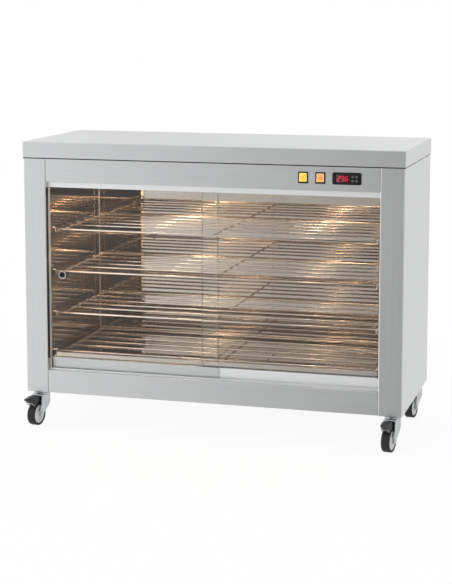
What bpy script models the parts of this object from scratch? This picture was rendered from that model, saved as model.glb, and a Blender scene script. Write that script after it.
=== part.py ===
"""Heated display cabinet on castors, with two sliding glass doors and four wire shelves.

Metres, +Z up. X runs along the width, the front faces -Y, and the origin lies on the
floor under the middle of the whole object.
"""
from math import cos, pi, radians, sin, tan

import bmesh
import bpy
from mathutils import Matrix, Vector

# Cabinet body, without castors
BODY_WIDTH = 1.050
BODY_DEPTH = 0.425
BODY_HEIGHT = 0.695

# Sheet metal, and the gap left between pieces that touch
SHEET = 0.0015
INNER_SHEET = 0.0012
PAN_SHEET = 0.0020
BEND_RADIUS = 0.0010
TOUCH_GAP = 0.0003
CUT_OVERRUN = 0.0050
BEND_STEPS = 2
ROUND_PROFILE_SHARE = 0.5

# Top cap, a folded lid that drops over the body
CAP_HEIGHT = 0.043
CAP_PLAY = 0.0005
CAP_FOLD_RADIUS = 0.0020

# Side panels, each one sheet folded into post, side and rear flange
POST_WIDTH = 0.0645
REAR_FLANGE = 0.025

# Door tracks, with two grooves one behind the other
TRACK_SETBACK = 0.012
TRACK_WALL = 0.0015
GROOVE_WIDTH = 0.008
TOP_GROOVE_DEPTH = 0.026
STRIP_HEIGHT = 0.0150

# Front fascias and the stepped sill, as heights above the body's bottom
RAIL_HEIGHT = 0.064
RAIL_RETURN = 0.015
FASCIA_HEIGHT = 0.066
FASCIA_RETURN = 0.011
FRONT_GROOVE_FLOOR = 0.062
FRONT_LIP_HEIGHT = 0.006
STEP_HEIGHT = 0.0954
REAR_GROOVE_DEPTH = 0.008
SILL_REAR_FLANGE = 0.010

# Sliding glass doors and the finger pull in the front one
GLASS = 0.005
DOOR_OVERLAP = 0.046
DOOR_SIDE_PLAY = 0.0010
DOOR_TOP_ENGAGEMENT = 0.012
PULL_FROM_EDGE = 0.039
PULL_HEIGHT = 0.329
PULL_BARREL_RADIUS = 0.0090
PULL_FLANGE_RADIUS = 0.0110
PULL_FLANGE = 0.0010
PULL_CUP_DEPTH = 0.0030
PULL_CUP_RADIUS = 0.0080

# Inner chamber
AIR_GAP_BACK = 0.0100
FLOOR_LIP_HEIGHT = 0.012
FLOOR_LIP_WIDTH = 0.0045
FLOOR_LIP_END = 0.008
CEILING_DROP = 0.053
CONTROL_BOX_DEPTH = 0.095

# Rear panel and its vents
VENT_LENGTH = 0.060
VENT_WIDTH = 0.005
VENT_PITCH = 0.014
VENTS_PER_GROUP = 5
VENT_GROUP_INSET = 0.180
VENTS_BELOW_TOP = 0.120
GLAND_INSET = 0.090
GLAND_HEIGHT = 0.040

# Base pan
PAN_LIP = 0.020

# Wire shelves: a perimeter frame with deck rods lying on it
SHELF_COUNT = 4
LOWEST_SHELF = 0.108
LOWEST_SHELF_GAP = 0.108
SHELF_PITCH = 0.117
SHELF_FRONT = 0.055
SHELF_BACK_CLEARANCE = 0.012
FRAME_ROD_RADIUS = 0.0030
DECK_ROD_RADIUS = 0.0025
DECK_ROD_PITCH = 0.060
LAST_DECK_ROD_GAP = 0.030
DECK_ROD_END = 0.004
WELD_DEPTH = 0.0010
SHELF_SIDE_INSET = 0.028
SHELF_TAB_INSET = 0.009

# Shelf racks at both sides: a rear upright, and four ledges hooked to the wall in front
UPRIGHT_RADIUS = 0.0030
UPRIGHT_INSET = 0.007
UPRIGHT_FROM_SHELF_END = 0.007
RACK_BELOW_CEILING = 0.080
LEDGE_RADIUS = 0.0025
LEDGE_INSET = 0.012
LEDGE_FRONT_OVERHANG = 0.015
LEDGE_HOOK_HEIGHT = 0.012
ROD_BEND_RADIUS = 0.004

# Warming lamps under the ceiling
LAMP_FROM_CENTRE = 0.240
LAMP_DEPTH = 0.225
HOLDER_RADIUS = 0.018
HOLDER_FLANGE_RADIUS = 0.025
HOLDER_FLANGE = 0.004
HOLDER_LENGTH = 0.022
SOCKET_RADIUS = 0.0080
SOCKET_DEPTH = 0.014
BULB_RADIUS = 0.020
BULB_NECK_RADIUS = 0.0070
BULB_NECK_LENGTH = 0.022
BULB_LENGTH = 0.038

# Heating element under the chamber floor, and the brackets that carry it
ELEMENT_RADIUS = 0.0040
ELEMENT_HEIGHT = 0.058
ELEMENT_HALF_LENGTH = 0.380
ELEMENT_ROWS = 4
ELEMENT_ROW_PITCH = 0.060
ELEMENT_FIRST_ROW = 0.120
ELEMENT_BEND_STEPS = 6
BRACKET_FROM_END = 0.080
BRACKET_FOOT = 0.015
BRACKET_SHEET = 0.0015
BRACKET_OVERHANG = 0.012

# Temperature probe on the right inner wall
PROBE_RADIUS = 0.0030
PROBE_LENGTH = 0.050
PROBE_NUT_RADIUS = 0.0070
PROBE_NUT_LENGTH = 0.006
PROBE_DEPTH = 0.330
PROBE_BELOW_CEILING = 0.040

# Cable gland in the rear panel
GLAND_THREAD_RADIUS = 0.0080
GLAND_HOLE_PLAY = 0.0004
GLAND_NUT_RADIUS = 0.0120
GLAND_NUT_LENGTH = 0.006
GLAND_DOME_RADIUS = 0.0100
GLAND_DOME_LENGTH = 0.012
GLAND_SEAL_RADIUS = 0.0050
GLAND_SEAL_RECESS = 0.003
GLAND_LOCKNUT_LENGTH = 0.004

# Controls on the upper fascia, measured from the body's right side and the fascia's edge
CONTROLS_ABOVE_EDGE = 0.0335
SWITCH_BEZEL_WIDTH = 0.026
SWITCH_BEZEL_HEIGHT = 0.030
SWITCH_BEZEL = 0.0025
SWITCH_RIM = 0.0026
SWITCH_BODY_STEP = 0.0018
SWITCH_BODY_DEPTH = 0.022
SWITCH_CAVITY_DEPTH = 0.016
HEATING_SWITCH_FROM_RIGHT = 0.267
LIGHT_SWITCH_FROM_RIGHT = 0.2213
ROCKER_PLAY = 0.0003
ROCKER_END_PLAY = 0.0012
ROCKER_PIVOT_DEPTH = 0.0045
ROCKER_FACE_DEPTH = 0.0005
ROCKER_TILT_DEG = 8.0
ROCKER_BACK_SHARE = 0.55
CONTROLLER_WIDTH = 0.0754
CONTROLLER_HEIGHT = 0.0315
CONTROLLER_FROM_RIGHT = 0.1515
CONTROLLER_BEZEL = 0.0035
CONTROLLER_CORNER = 0.003
CONTROLLER_BODY_STEP = 0.0017
CONTROLLER_BODY_DEPTH = 0.058
CUTOUT_PLAY = 0.0003
WINDOW_WIDTH = 0.036
WINDOW_HEIGHT = 0.0225
WINDOW_FROM_LEFT = 0.0275
WINDOW_THICKNESS = 0.0010
KEY_WIDTH = 0.0060
KEY_HEIGHT = 0.0060
KEY_PITCH_X = 0.0100
KEY_PITCH_Z = 0.0107
KEYS_FROM_LEFT = 0.0585
KEY_THICKNESS = 0.0017
KEY_TRAVEL = 0.0005
KEY_PROUD = 0.0006
KEY_PLAY = 0.0003

# Swivel castors
WHEEL_RADIUS = 0.031
HUB_RADIUS = 0.025
HUB_WIDTH = 0.020
HUB_BOSS_RADIUS = 0.009
HUB_BOSS_WIDTH = 0.026
TYRE_WIDTH = 0.024
TYRE_SHOULDER = 0.0025
WHEEL_SIDES = 24
AXLE_RADIUS = 0.0040
AXLE_HEAD_RADIUS = 0.0065
AXLE_HEAD = 0.0025
CASTOR_TRAIL = 0.027
CASTOR_INSET = 0.030
CASTOR_HEADING = radians(9.0)
FORK_PLAY = 0.0015
FORK_LEG = 0.0025
FORK_CROWN = 0.0045
FORK_CROWN_BACK = 0.020
FORK_CROWN_FRONT = 0.022
FORK_BACK_EDGE = 0.030
FORK_FRONT_EDGE = 0.020
FORK_FRONT_BULGE = 0.003
FORK_BOSS_RADIUS = 0.0085
KINGPIN_RADIUS = 0.0040
KINGPIN_HEAD_RADIUS = 0.0060
KINGPIN_HEAD = 0.0025
RACE_RADIUS = 0.022
RACE_CHAMFER = 0.002
RACE_HEIGHT = 0.0072
WASHER_RADIUS = 0.014
WASHER_HEIGHT = 0.0045
STEM_RADIUS = 0.0057
STEM_HOLE_PLAY = 0.0005
STEM_NUT_RADIUS = 0.010
STEM_NUT_HEIGHT = 0.008
STEM_END = 0.004

# Brake pedals of the two front castors, drawn from the swivel axis and the wheel's top
BRAKE_SPACE = 0.018
PEDAL_LENGTH = 0.086
PEDAL_WIDTH = 0.022
PEDAL_TOE_WIDTH = 0.008
PEDAL_RISE = 0.0225
PEDAL_PIVOT_REACH = 0.014
PEDAL_PIVOT_RISE = 0.010
PEDAL_PIN_RADIUS = 0.0025
PEDAL_SIDE_SHARES = (
    (0.105, 0.64),
    (0.273, 0.64),
    (0.302, 0.96),
    (0.600, 1.00),
    (1.000, 0.98),
    (1.000, 0.87),
    (0.814, 0.50),
    (0.651, 0.00),
    (0.570, -0.16),
    (0.465, 0.04),
    (0.314, 0.24),
    (0.105, 0.31),
)
PEDAL_TAPER_SHARE = 0.55

# Heights of the castor's pieces above the floor
WHEEL_TOP = 2 * WHEEL_RADIUS
CROWN_UNDERSIDE = WHEEL_TOP + BRAKE_SPACE
FORK_TOP = CROWN_UNDERSIDE + FORK_CROWN
HEAD_UNDERSIDE = FORK_TOP + TOUCH_GAP
HEAD_TOP = HEAD_UNDERSIDE + RACE_HEIGHT + WASHER_HEIGHT
FORK_GAP = HUB_BOSS_WIDTH + 2 * FORK_PLAY

# Planes of the body, with the origin under the middle of pedals, body and cable gland
CAP_OVERHANG = SHEET + CAP_PLAY
GLAND_REACH = GLAND_NUT_LENGTH + GLAND_DOME_LENGTH + TOUCH_GAP
PEDAL_REACH = PEDAL_LENGTH * cos(CASTOR_HEADING) + PEDAL_TOE_WIDTH / 2 * sin(CASTOR_HEADING)
FRONT_REACH = PEDAL_REACH - CASTOR_INSET
LEFT = -BODY_WIDTH / 2
RIGHT = BODY_WIDTH / 2
FRONT = (FRONT_REACH - BODY_DEPTH - GLAND_REACH) / 2
BACK = FRONT + BODY_DEPTH
BOTTOM = HEAD_TOP - SHEET
TOP = BOTTOM + BODY_HEIGHT
UNDER_CAP = TOP - SHEET - TOUCH_GAP
REAR_PANEL_FRONT = BACK - SHEET
FLANGE_BACK = REAR_PANEL_FRONT - TOUCH_GAP
OPENING = BODY_WIDTH / 2 - POST_WIDTH
BETWEEN_POSTS = OPENING - TOUCH_GAP

# Planes of the tracks, the doors and the inner chamber
TRACK_FRONT = FRONT + TRACK_SETBACK
GROOVE_FRONT = TRACK_FRONT + TRACK_WALL
GROOVE_PITCH = GROOVE_WIDTH + TRACK_WALL
TRACK_BACK = GROOVE_FRONT + GROOVE_PITCH + GROOVE_WIDTH + TRACK_WALL
FASCIA_BOTTOM = TOP - CAP_HEIGHT - FASCIA_HEIGHT
TRACK_BOTTOM = FASCIA_BOTTOM - STRIP_HEIGHT
TRACK_TOP = TRACK_BOTTOM + TOP_GROOVE_DEPTH + TRACK_WALL
CHAMBER_FRONT = TRACK_BACK + TOUCH_GAP
CHAMBER_BACK = REAR_PANEL_FRONT - AIR_GAP_BACK
FLOOR_UNDERSIDE = BOTTOM + STEP_HEIGHT + TOUCH_GAP
FLOOR_TOP = FLOOR_UNDERSIDE + INNER_SHEET
CEILING = TOP - CEILING_DROP
CONTROL_BOX_FLOOR = TRACK_TOP + TOUCH_GAP
PAN_UNDERSIDE = HEAD_TOP + TOUCH_GAP
PAN_TOP = PAN_UNDERSIDE + PAN_SHEET

# Finish of each kind of surface: colour, roughness, metallic and alpha
FINISHES = {
    "brushed_stainless": ((0.60, 0.60, 0.61), 0.32, 1.0, 1.0),
    "mirror_stainless": ((0.72, 0.70, 0.68), 0.08, 1.0, 1.0),
    "satin_aluminium": ((0.72, 0.73, 0.74), 0.35, 1.0, 1.0),
    "clear_glass": ((0.86, 0.93, 0.90), 0.02, 0.0, 0.25),
    "chromed_wire": ((0.76, 0.70, 0.64), 0.15, 1.0, 1.0),
    "black_plastic": ((0.015, 0.015, 0.016), 0.35, 0.0, 1.0),
    "amber_lens": ((0.95, 0.52, 0.10), 0.25, 0.0, 1.0),
    "orange_lens": ((0.90, 0.33, 0.10), 0.25, 0.0, 1.0),
    "red_window": ((0.22, 0.01, 0.03), 0.10, 0.0, 1.0),
    "grey_key": ((0.20, 0.20, 0.22), 0.45, 0.0, 1.0),
    "porcelain": ((0.80, 0.78, 0.73), 0.25, 0.0, 1.0),
    "warm_bulb": ((1.00, 0.80, 0.50), 0.10, 0.0, 0.60),
    "element_steel": ((0.20, 0.17, 0.16), 0.50, 1.0, 1.0),
    "zinc_steel": ((0.45, 0.46, 0.48), 0.38, 1.0, 1.0),
    "dark_steel": ((0.13, 0.13, 0.14), 0.45, 0.6, 1.0),
    "grey_hub": ((0.55, 0.56, 0.57), 0.45, 0.0, 1.0),
    "black_rubber": ((0.02, 0.02, 0.02), 0.75, 0.0, 1.0),
}


def clear_scene():
    """Remove every object the file holds."""
    for piece in list(bpy.data.objects):
        bpy.data.objects.remove(piece, do_unlink=True)


def finish_material(name, finish):
    """Make a piece's own material from its finish."""
    colour, roughness, metallic, alpha = FINISHES[finish]
    material = bpy.data.materials.new(name)
    material.use_nodes = True
    shader = material.node_tree.nodes["Principled BSDF"]
    shader.inputs["Base Color"].default_value = (*colour, 1.0)
    shader.inputs["Roughness"].default_value = roughness
    shader.inputs["Metallic"].default_value = metallic
    shader.inputs["Alpha"].default_value = alpha
    return material


def add_piece(name, bm, finish, parent=None, round_piece=False):
    """Turn a bmesh into a named object."""
    if all(edge.is_manifold for edge in bm.edges):
        bmesh.ops.recalc_face_normals(bm, faces=bm.faces)
    mesh = bpy.data.meshes.new(name)
    bm.to_mesh(mesh)
    bm.free()
    mesh.materials.append(finish_material(name, finish))
    if round_piece:
        mesh.shade_smooth()
        mesh.set_sharp_from_angle(angle=radians(35))
    piece = bpy.data.objects.new(name, mesh)
    bpy.context.scene.collection.objects.link(piece)
    piece.parent = parent
    return piece


def add_tool(name, bm, parent=None):
    """Turn a bmesh into a shape that only cuts or joins other pieces."""
    tool = add_piece(name, bm, "zinc_steel", parent)
    tool.hide_render = True
    tool.display_type = "WIRE"
    return tool


def add_boolean(piece, tool, operation):
    """Cut a piece with a tool, or join the tool to it."""
    modifier = piece.modifiers.new(tool.name, "BOOLEAN")
    modifier.operation = operation
    modifier.solver = "EXACT"
    modifier.object = tool


def add_pivot(name, place, heading=0.0, parent=None):
    """Add an empty on a joint's axis."""
    pivot = bpy.data.objects.new(name, None)
    bpy.context.scene.collection.objects.link(pivot)
    pivot.location = place
    pivot.rotation_euler = (0.0, 0.0, heading)
    pivot.parent = parent
    return pivot


def point_across(axis, a, b, along):
    """Place an outline's point (a, b) at a distance along the axis square to it."""
    if axis == "X":
        return (along, a, b)
    if axis == "Y":
        return (a, along, b)
    return (a, b, along)


def add_prism(bm, outline, axis, start, end):
    """Add an outline as a solid that runs from start to end along an axis."""
    low = [bm.verts.new(point_across(axis, a, b, start)) for a, b in outline]
    high = [bm.verts.new(point_across(axis, a, b, end)) for a, b in outline]
    bm.faces.new(low)
    bm.faces.new(high)
    for i, corner in enumerate(low):
        after = (i + 1) % len(low)
        bm.faces.new((corner, low[after], high[after], high[i]))


def rectangle(low_a, low_b, high_a, high_b):
    """Outline of a rectangle."""
    return [(low_a, low_b), (high_a, low_b), (high_a, high_b), (low_a, high_b)]


def add_box(bm, low, high):
    """Add a box between two corners."""
    add_prism(bm, rectangle(low[0], low[1], high[0], high[1]), "Z", low[2], high[2])


def arc(centre, radius, start, end, steps):
    """Points on an arc from one angle to another."""
    angles = [start + (end - start) * i / steps for i in range(steps + 1)]
    return [(centre[0] + radius * cos(a), centre[1] + radius * sin(a)) for a in angles]


def rounded_rectangle(centre, width, height, corner, steps=2):
    """Outline of a rectangle with round corners."""
    across = width / 2 - corner
    up = height / 2 - corner
    outline = []
    for quarter, (x_side, z_side) in enumerate(((1, 1), (-1, 1), (-1, -1), (1, -1))):
        middle = (centre[0] + x_side * across, centre[1] + z_side * up)
        outline += arc(middle, corner, quarter * pi / 2, (quarter + 1) * pi / 2, steps)
    return outline


def round_corners(path, radii, steps):
    """Replace each inner corner of a path by an arc of its own radius."""
    points = [Vector(p) for p in path]
    result = [points[0]]
    for before, corner, after, radius in zip(points, points[1:], points[2:], radii):
        arriving = (corner - before).normalized()
        leaving = (after - corner).normalized()
        turn = arriving.angle(leaving)
        reach = radius * tan(turn / 2)
        centre = corner + (leaving - arriving).normalized() * radius / cos(turn / 2)
        first = corner - arriving * reach - centre
        last = corner + leaving * reach - centre
        for i in range(steps + 1):
            share = i / steps
            spoke = first * sin((1 - share) * turn) + last * sin(share * turn)
            result.append(centre + spoke / sin(turn))
    result.append(points[-1])
    return result


def left_of(direction):
    """The direction square to a plan direction, on its left."""
    return Vector((-direction[1], direction[0]))


def offset_path(path, distance):
    """Shift a flat path sideways to its left, with mitred corners."""
    points = [Vector(p) for p in path]
    runs = [(b - a).normalized() for a, b in zip(points, points[1:])]
    sides = [left_of(runs[0])] + [left_of(run) for run in runs]
    sides.append(left_of(runs[-1]))
    shifted = []
    for point, side, next_side in zip(points, sides, sides[1:]):
        shifted.append(point + (side + next_side) * distance / (1 + side.dot(next_side)))
    return shifted


def folded_sheet(path, thickness):
    """Outline of a folded sheet: the path is one skin, and the sheet lies on its left.

    A negative thickness puts the sheet on the path's right.
    """
    points = [Vector(p) for p in path]
    near_radii = []
    far_radii = []
    for a, b, c in zip(points, points[1:], points[2:]):
        turn = (b - a).cross(c - b)
        inside = turn * thickness > 0
        near_radii.append(BEND_RADIUS + abs(thickness) if inside else BEND_RADIUS)
        far_radii.append(BEND_RADIUS if inside else BEND_RADIUS + abs(thickness))
    near = round_corners(points, near_radii, BEND_STEPS)
    far = round_corners(offset_path(points, thickness), far_radii, BEND_STEPS)
    return [tuple(p) for p in near + far[::-1]]


def add_turned(bm, profile, sides, matrix=None, closed=False, flats_touch=False):
    """Add a solid turned about Z from a profile of (radius, height) points.

    A closed profile makes a ring. Otherwise the profile's ends lie on the axis.
    With flats_touch the flat sides, not their edges, lie at the profile's radii.
    """
    place = matrix or Matrix.Identity(4)
    grow = 1 / cos(pi / sides) if flats_touch else 1.0
    rings = []
    for radius, height in profile:
        if radius == 0:
            rings.append([bm.verts.new(place @ Vector((0, 0, height)))])
            continue
        ring = []
        for i in range(sides):
            angle = (2 * i + 1) * pi / sides
            spot = Vector((radius * grow * cos(angle), radius * grow * sin(angle), height))
            ring.append(bm.verts.new(place @ spot))
        rings.append(ring)
    pairs = list(zip(rings, rings[1:]))
    if closed:
        pairs.append((rings[-1], rings[0]))
    for ring, following in pairs:
        for i in range(sides):
            after = (i + 1) % sides
            if len(ring) == 1:
                bm.faces.new((ring[0], following[after], following[i]))
            elif len(following) == 1:
                bm.faces.new((ring[i], ring[after], following[0]))
            else:
                bm.faces.new((ring[i], ring[after], following[after], following[i]))


def add_rod(bm, path, radius, sides=8):
    """Add a round rod along a path, mitred where the path turns."""
    points = [Vector(p) for p in path]
    runs = [(b - a).normalized() for a, b in zip(points, points[1:])]
    side = runs[0].orthogonal().normalized()
    up = runs[0].cross(side)
    ring = []
    for i in range(sides):
        angle = (2 * i + 1) * pi / sides
        ring.append(points[0] + side * radius * cos(angle) + up * radius * sin(angle))
    rings = [[bm.verts.new(p) for p in ring]]
    for i, run in enumerate(runs):
        facing = run + runs[i + 1] if i + 1 < len(runs) else run
        target = points[i + 1]
        ring = [p + run * (target - p).dot(facing) / run.dot(facing) for p in ring]
        rings.append([bm.verts.new(p) for p in ring])
    bm.faces.new(rings[0])
    bm.faces.new(rings[-1])
    for ring, following in zip(rings, rings[1:]):
        for i in range(sides):
            after = (i + 1) % sides
            bm.faces.new((ring[i], ring[after], following[after], following[i]))


ALONG_X = Matrix.Rotation(pi / 2, 4, "Y")
ALONG_BACK = Matrix.Rotation(-pi / 2, 4, "X")


def open_tray(bm, low, high, open_top, fold_radius):
    """Add a tray's outer skin without its open side, with its folds rounded."""
    add_box(bm, low, high)
    bmesh.ops.recalc_face_normals(bm, faces=bm.faces)
    rim = high[2] if open_top else low[2]
    mouth = [f for f in bm.faces if all(abs(v.co.z - rim) < TOUCH_GAP for v in f.verts)]
    bmesh.ops.delete(bm, geom=mouth, context="FACES_ONLY")
    folds = [e for e in bm.edges if len(e.link_faces) == 2]
    bmesh.ops.bevel(
        bm,
        geom=folds,
        offset=fold_radius,
        segments=BEND_STEPS,
        profile=ROUND_PROFILE_SHARE,
        affect="EDGES",
    )


def add_thickness(piece, thickness):
    """Give a skin its sheet thickness on the inside."""
    modifier = piece.modifiers.new("sheet", "SOLIDIFY")
    modifier.thickness = thickness
    modifier.offset = -1.0
    modifier.use_even_offset = True


def make_top_cap():
    """Folded lid with its sides turned down over the body."""
    low = (LEFT - CAP_OVERHANG, FRONT - CAP_OVERHANG, TOP - CAP_HEIGHT)
    high = (RIGHT + CAP_OVERHANG, BACK + CAP_OVERHANG, TOP)
    bm = bmesh.new()
    open_tray(bm, low, high, False, CAP_FOLD_RADIUS)
    add_thickness(add_piece("top_cap", bm, "brushed_stainless"), SHEET)


def make_side_panel(name, side):
    """One folded sheet: door return, front post, plain side and rear flange."""
    outer = side * BODY_WIDTH / 2
    inner = side * OPENING
    path = [
        (inner, TRACK_BACK),
        (inner, FRONT),
        (outer, FRONT),
        (outer, FLANGE_BACK),
        (outer - side * REAR_FLANGE, FLANGE_BACK),
    ]
    bm = bmesh.new()
    add_prism(bm, folded_sheet(path, side * SHEET), "Z", BOTTOM, UNDER_CAP)
    add_piece(name, bm, "brushed_stainless")


def make_rear_panel():
    """Flat outer back with two groups of vents and the cable gland's hole."""
    bm = bmesh.new()
    add_box(bm, (LEFT, REAR_PANEL_FRONT, BOTTOM), (RIGHT, BACK, UNDER_CAP))
    panel = add_piece("rear_panel", bm, "brushed_stainless")
    cutter = bmesh.new()
    for side in (-1, 1):
        for i in range(VENTS_PER_GROUP):
            shift = (i - (VENTS_PER_GROUP - 1) / 2) * VENT_PITCH
            middle = (side * (BODY_WIDTH / 2 - VENT_GROUP_INSET) + shift, TOP - VENTS_BELOW_TOP)
            slot = rounded_rectangle(middle, VENT_WIDTH, VENT_LENGTH, VENT_WIDTH / 2 - TOUCH_GAP)
            add_prism(cutter, slot, "Y", REAR_PANEL_FRONT - CUT_OVERRUN, BACK + CUT_OVERRUN)
    add_boolean(panel, add_tool("vent_slots", cutter), "DIFFERENCE")
    hole = bmesh.new()
    radius = GLAND_THREAD_RADIUS + GLAND_HOLE_PLAY
    through = [(0, -CUT_OVERRUN), (radius, -CUT_OVERRUN), (radius, CUT_OVERRUN), (0, CUT_OVERRUN)]
    place = Matrix.Translation((RIGHT - GLAND_INSET, BACK, BOTTOM + GLAND_HEIGHT)) @ ALONG_BACK
    add_turned(hole, through, 12, place, flats_touch=True)
    add_boolean(panel, add_tool("gland_hole", hole), "DIFFERENCE")


def make_cable_gland():
    """Screwed gland with a closed rubber seal, held by a locknut inside the panel."""
    inside = -SHEET - TOUCH_GAP
    seal = GLAND_REACH - GLAND_SEAL_RECESS
    nut_end = TOUCH_GAP + GLAND_NUT_LENGTH
    profile = [
        (0, inside - GLAND_LOCKNUT_LENGTH),
        (GLAND_NUT_RADIUS, inside - GLAND_LOCKNUT_LENGTH),
        (GLAND_NUT_RADIUS, inside),
        (GLAND_THREAD_RADIUS, inside),
        (GLAND_THREAD_RADIUS, TOUCH_GAP),
        (GLAND_NUT_RADIUS, TOUCH_GAP),
        (GLAND_NUT_RADIUS, nut_end),
        (GLAND_DOME_RADIUS, nut_end),
        (GLAND_DOME_RADIUS, GLAND_REACH - (GLAND_DOME_RADIUS - GLAND_SEAL_RADIUS) / 2),
        ((GLAND_DOME_RADIUS + GLAND_SEAL_RADIUS) / 2, GLAND_REACH),
        (GLAND_SEAL_RADIUS, GLAND_REACH),
        (GLAND_SEAL_RADIUS, seal),
        (0, seal),
    ]
    place = Matrix.Translation((RIGHT - GLAND_INSET, BACK, BOTTOM + GLAND_HEIGHT)) @ ALONG_BACK
    bm = bmesh.new()
    add_turned(bm, profile, 12, place)
    add_piece("cable_gland", bm, "black_plastic", round_piece=True)


def castor_places():
    """Name prefix, swivel axis and whether the castor has a brake."""
    across = BODY_WIDTH / 2 - CASTOR_INSET
    return [
        ("front_left", (-across, FRONT + CASTOR_INSET), True),
        ("front_right", (across, FRONT + CASTOR_INSET), True),
        ("rear_left", (-across, BACK - CASTOR_INSET), False),
        ("rear_right", (across, BACK - CASTOR_INSET), False),
    ]


def make_base_pan():
    """Shallow tray that closes the bottom, notched for the posts, with stem holes."""
    side = BODY_WIDTH / 2 - SHEET - TOUCH_GAP
    low = (-side, FRONT + SHEET + TOUCH_GAP, PAN_UNDERSIDE)
    high = (side, FLANGE_BACK - SHEET - TOUCH_GAP, PAN_UNDERSIDE + PAN_LIP)
    bm = bmesh.new()
    open_tray(bm, low, high, True, CAP_FOLD_RADIUS + PAN_SHEET)
    pan = add_piece("base_pan", bm, "zinc_steel")
    add_thickness(pan, PAN_SHEET)
    notches = bmesh.new()
    for post in (-1, 1):
        near = post * (OPENING - TOUCH_GAP)
        far = post * (OPENING + SHEET + TOUCH_GAP)
        notch_low = (min(near, far), FRONT, PAN_UNDERSIDE - CUT_OVERRUN)
        notch_high = (max(near, far), TRACK_BACK + TOUCH_GAP, high[2] + CUT_OVERRUN)
        add_box(notches, notch_low, notch_high)
    add_boolean(pan, add_tool("post_notches", notches), "DIFFERENCE")
    holes = bmesh.new()
    radius = STEM_RADIUS + STEM_HOLE_PLAY
    through = [
        (0, PAN_UNDERSIDE - CUT_OVERRUN),
        (radius, PAN_UNDERSIDE - CUT_OVERRUN),
        (radius, PAN_TOP + CUT_OVERRUN),
        (0, PAN_TOP + CUT_OVERRUN),
    ]
    for _, (x, y), _ in castor_places():
        add_turned(holes, through, 12, Matrix.Translation((x, y, 0)), flats_touch=True)
    add_boolean(pan, add_tool("stem_holes", holes), "DIFFERENCE")


def make_bottom_rail():
    """Folded front rail between the posts, under the sill."""
    top = BOTTOM + RAIL_HEIGHT
    path = [
        (FRONT + RAIL_RETURN, BOTTOM),
        (FRONT, BOTTOM),
        (FRONT, top),
        (TRACK_FRONT - TOUCH_GAP, top),
    ]
    bm = bmesh.new()
    add_prism(bm, folded_sheet(path, -SHEET), "X", -BETWEEN_POSTS, BETWEEN_POSTS)
    add_piece("bottom_rail", bm, "brushed_stainless")


def switch_place(from_right):
    """Middle of a control on the fascia, in X and Z."""
    return (RIGHT - from_right, FASCIA_BOTTOM + CONTROLS_ABOVE_EDGE)


def switch_body_outline(middle, grow=0.0):
    """Outline of the switch's body behind its bezel."""
    width = SWITCH_BEZEL_WIDTH - 2 * SWITCH_BODY_STEP + 2 * grow
    height = SWITCH_BEZEL_HEIGHT - 2 * SWITCH_BODY_STEP + 2 * grow
    low_x = middle[0] - width / 2
    low_z = middle[1] - height / 2
    return rectangle(low_x, low_z, low_x + width, low_z + height)


def controller_body_outline(grow=0.0):
    """Outline of the controller's body behind its bezel."""
    middle = switch_place(CONTROLLER_FROM_RIGHT)
    width = CONTROLLER_WIDTH - 2 * CONTROLLER_BODY_STEP + 2 * grow
    height = CONTROLLER_HEIGHT - 2 * CONTROLLER_BODY_STEP + 2 * grow
    low_x = middle[0] - width / 2
    low_z = middle[1] - height / 2
    return rectangle(low_x, low_z, low_x + width, low_z + height)


def make_control_fascia():
    """Folded upper front between the posts, with cut-outs for the controls."""
    path = [
        (FRONT + FASCIA_RETURN, UNDER_CAP),
        (FRONT, UNDER_CAP),
        (FRONT, FASCIA_BOTTOM),
        (TRACK_FRONT - TOUCH_GAP, FASCIA_BOTTOM),
    ]
    bm = bmesh.new()
    add_prism(bm, folded_sheet(path, SHEET), "X", -BETWEEN_POSTS, BETWEEN_POSTS)
    fascia = add_piece("control_fascia", bm, "brushed_stainless")
    cutter = bmesh.new()
    outlines = [
        switch_body_outline(switch_place(HEATING_SWITCH_FROM_RIGHT), CUTOUT_PLAY),
        switch_body_outline(switch_place(LIGHT_SWITCH_FROM_RIGHT), CUTOUT_PLAY),
        controller_body_outline(CUTOUT_PLAY),
    ]
    for outline in outlines:
        add_prism(cutter, outline, "Y", FRONT - CUT_OVERRUN, FRONT + SHEET + CUT_OVERRUN)
    add_boolean(fascia, add_tool("control_cutouts", cutter), "DIFFERENCE")


def make_top_track():
    """Double channel, open below, that guides the tops of both doors."""
    ceiling = TRACK_TOP - TRACK_WALL
    outline = [(TRACK_FRONT, TRACK_BOTTOM), (TRACK_FRONT, TRACK_TOP)]
    outline += [(TRACK_BACK, TRACK_TOP), (TRACK_BACK, TRACK_BOTTOM)]
    for groove in (1, 0):
        near = GROOVE_FRONT + groove * GROOVE_PITCH
        far = near + GROOVE_WIDTH
        outline += [(far, TRACK_BOTTOM), (far, ceiling), (near, ceiling), (near, TRACK_BOTTOM)]
    bm = bmesh.new()
    add_prism(bm, outline, "X", -BETWEEN_POSTS, BETWEEN_POSTS)
    add_piece("top_track", bm, "satin_aluminium")


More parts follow.
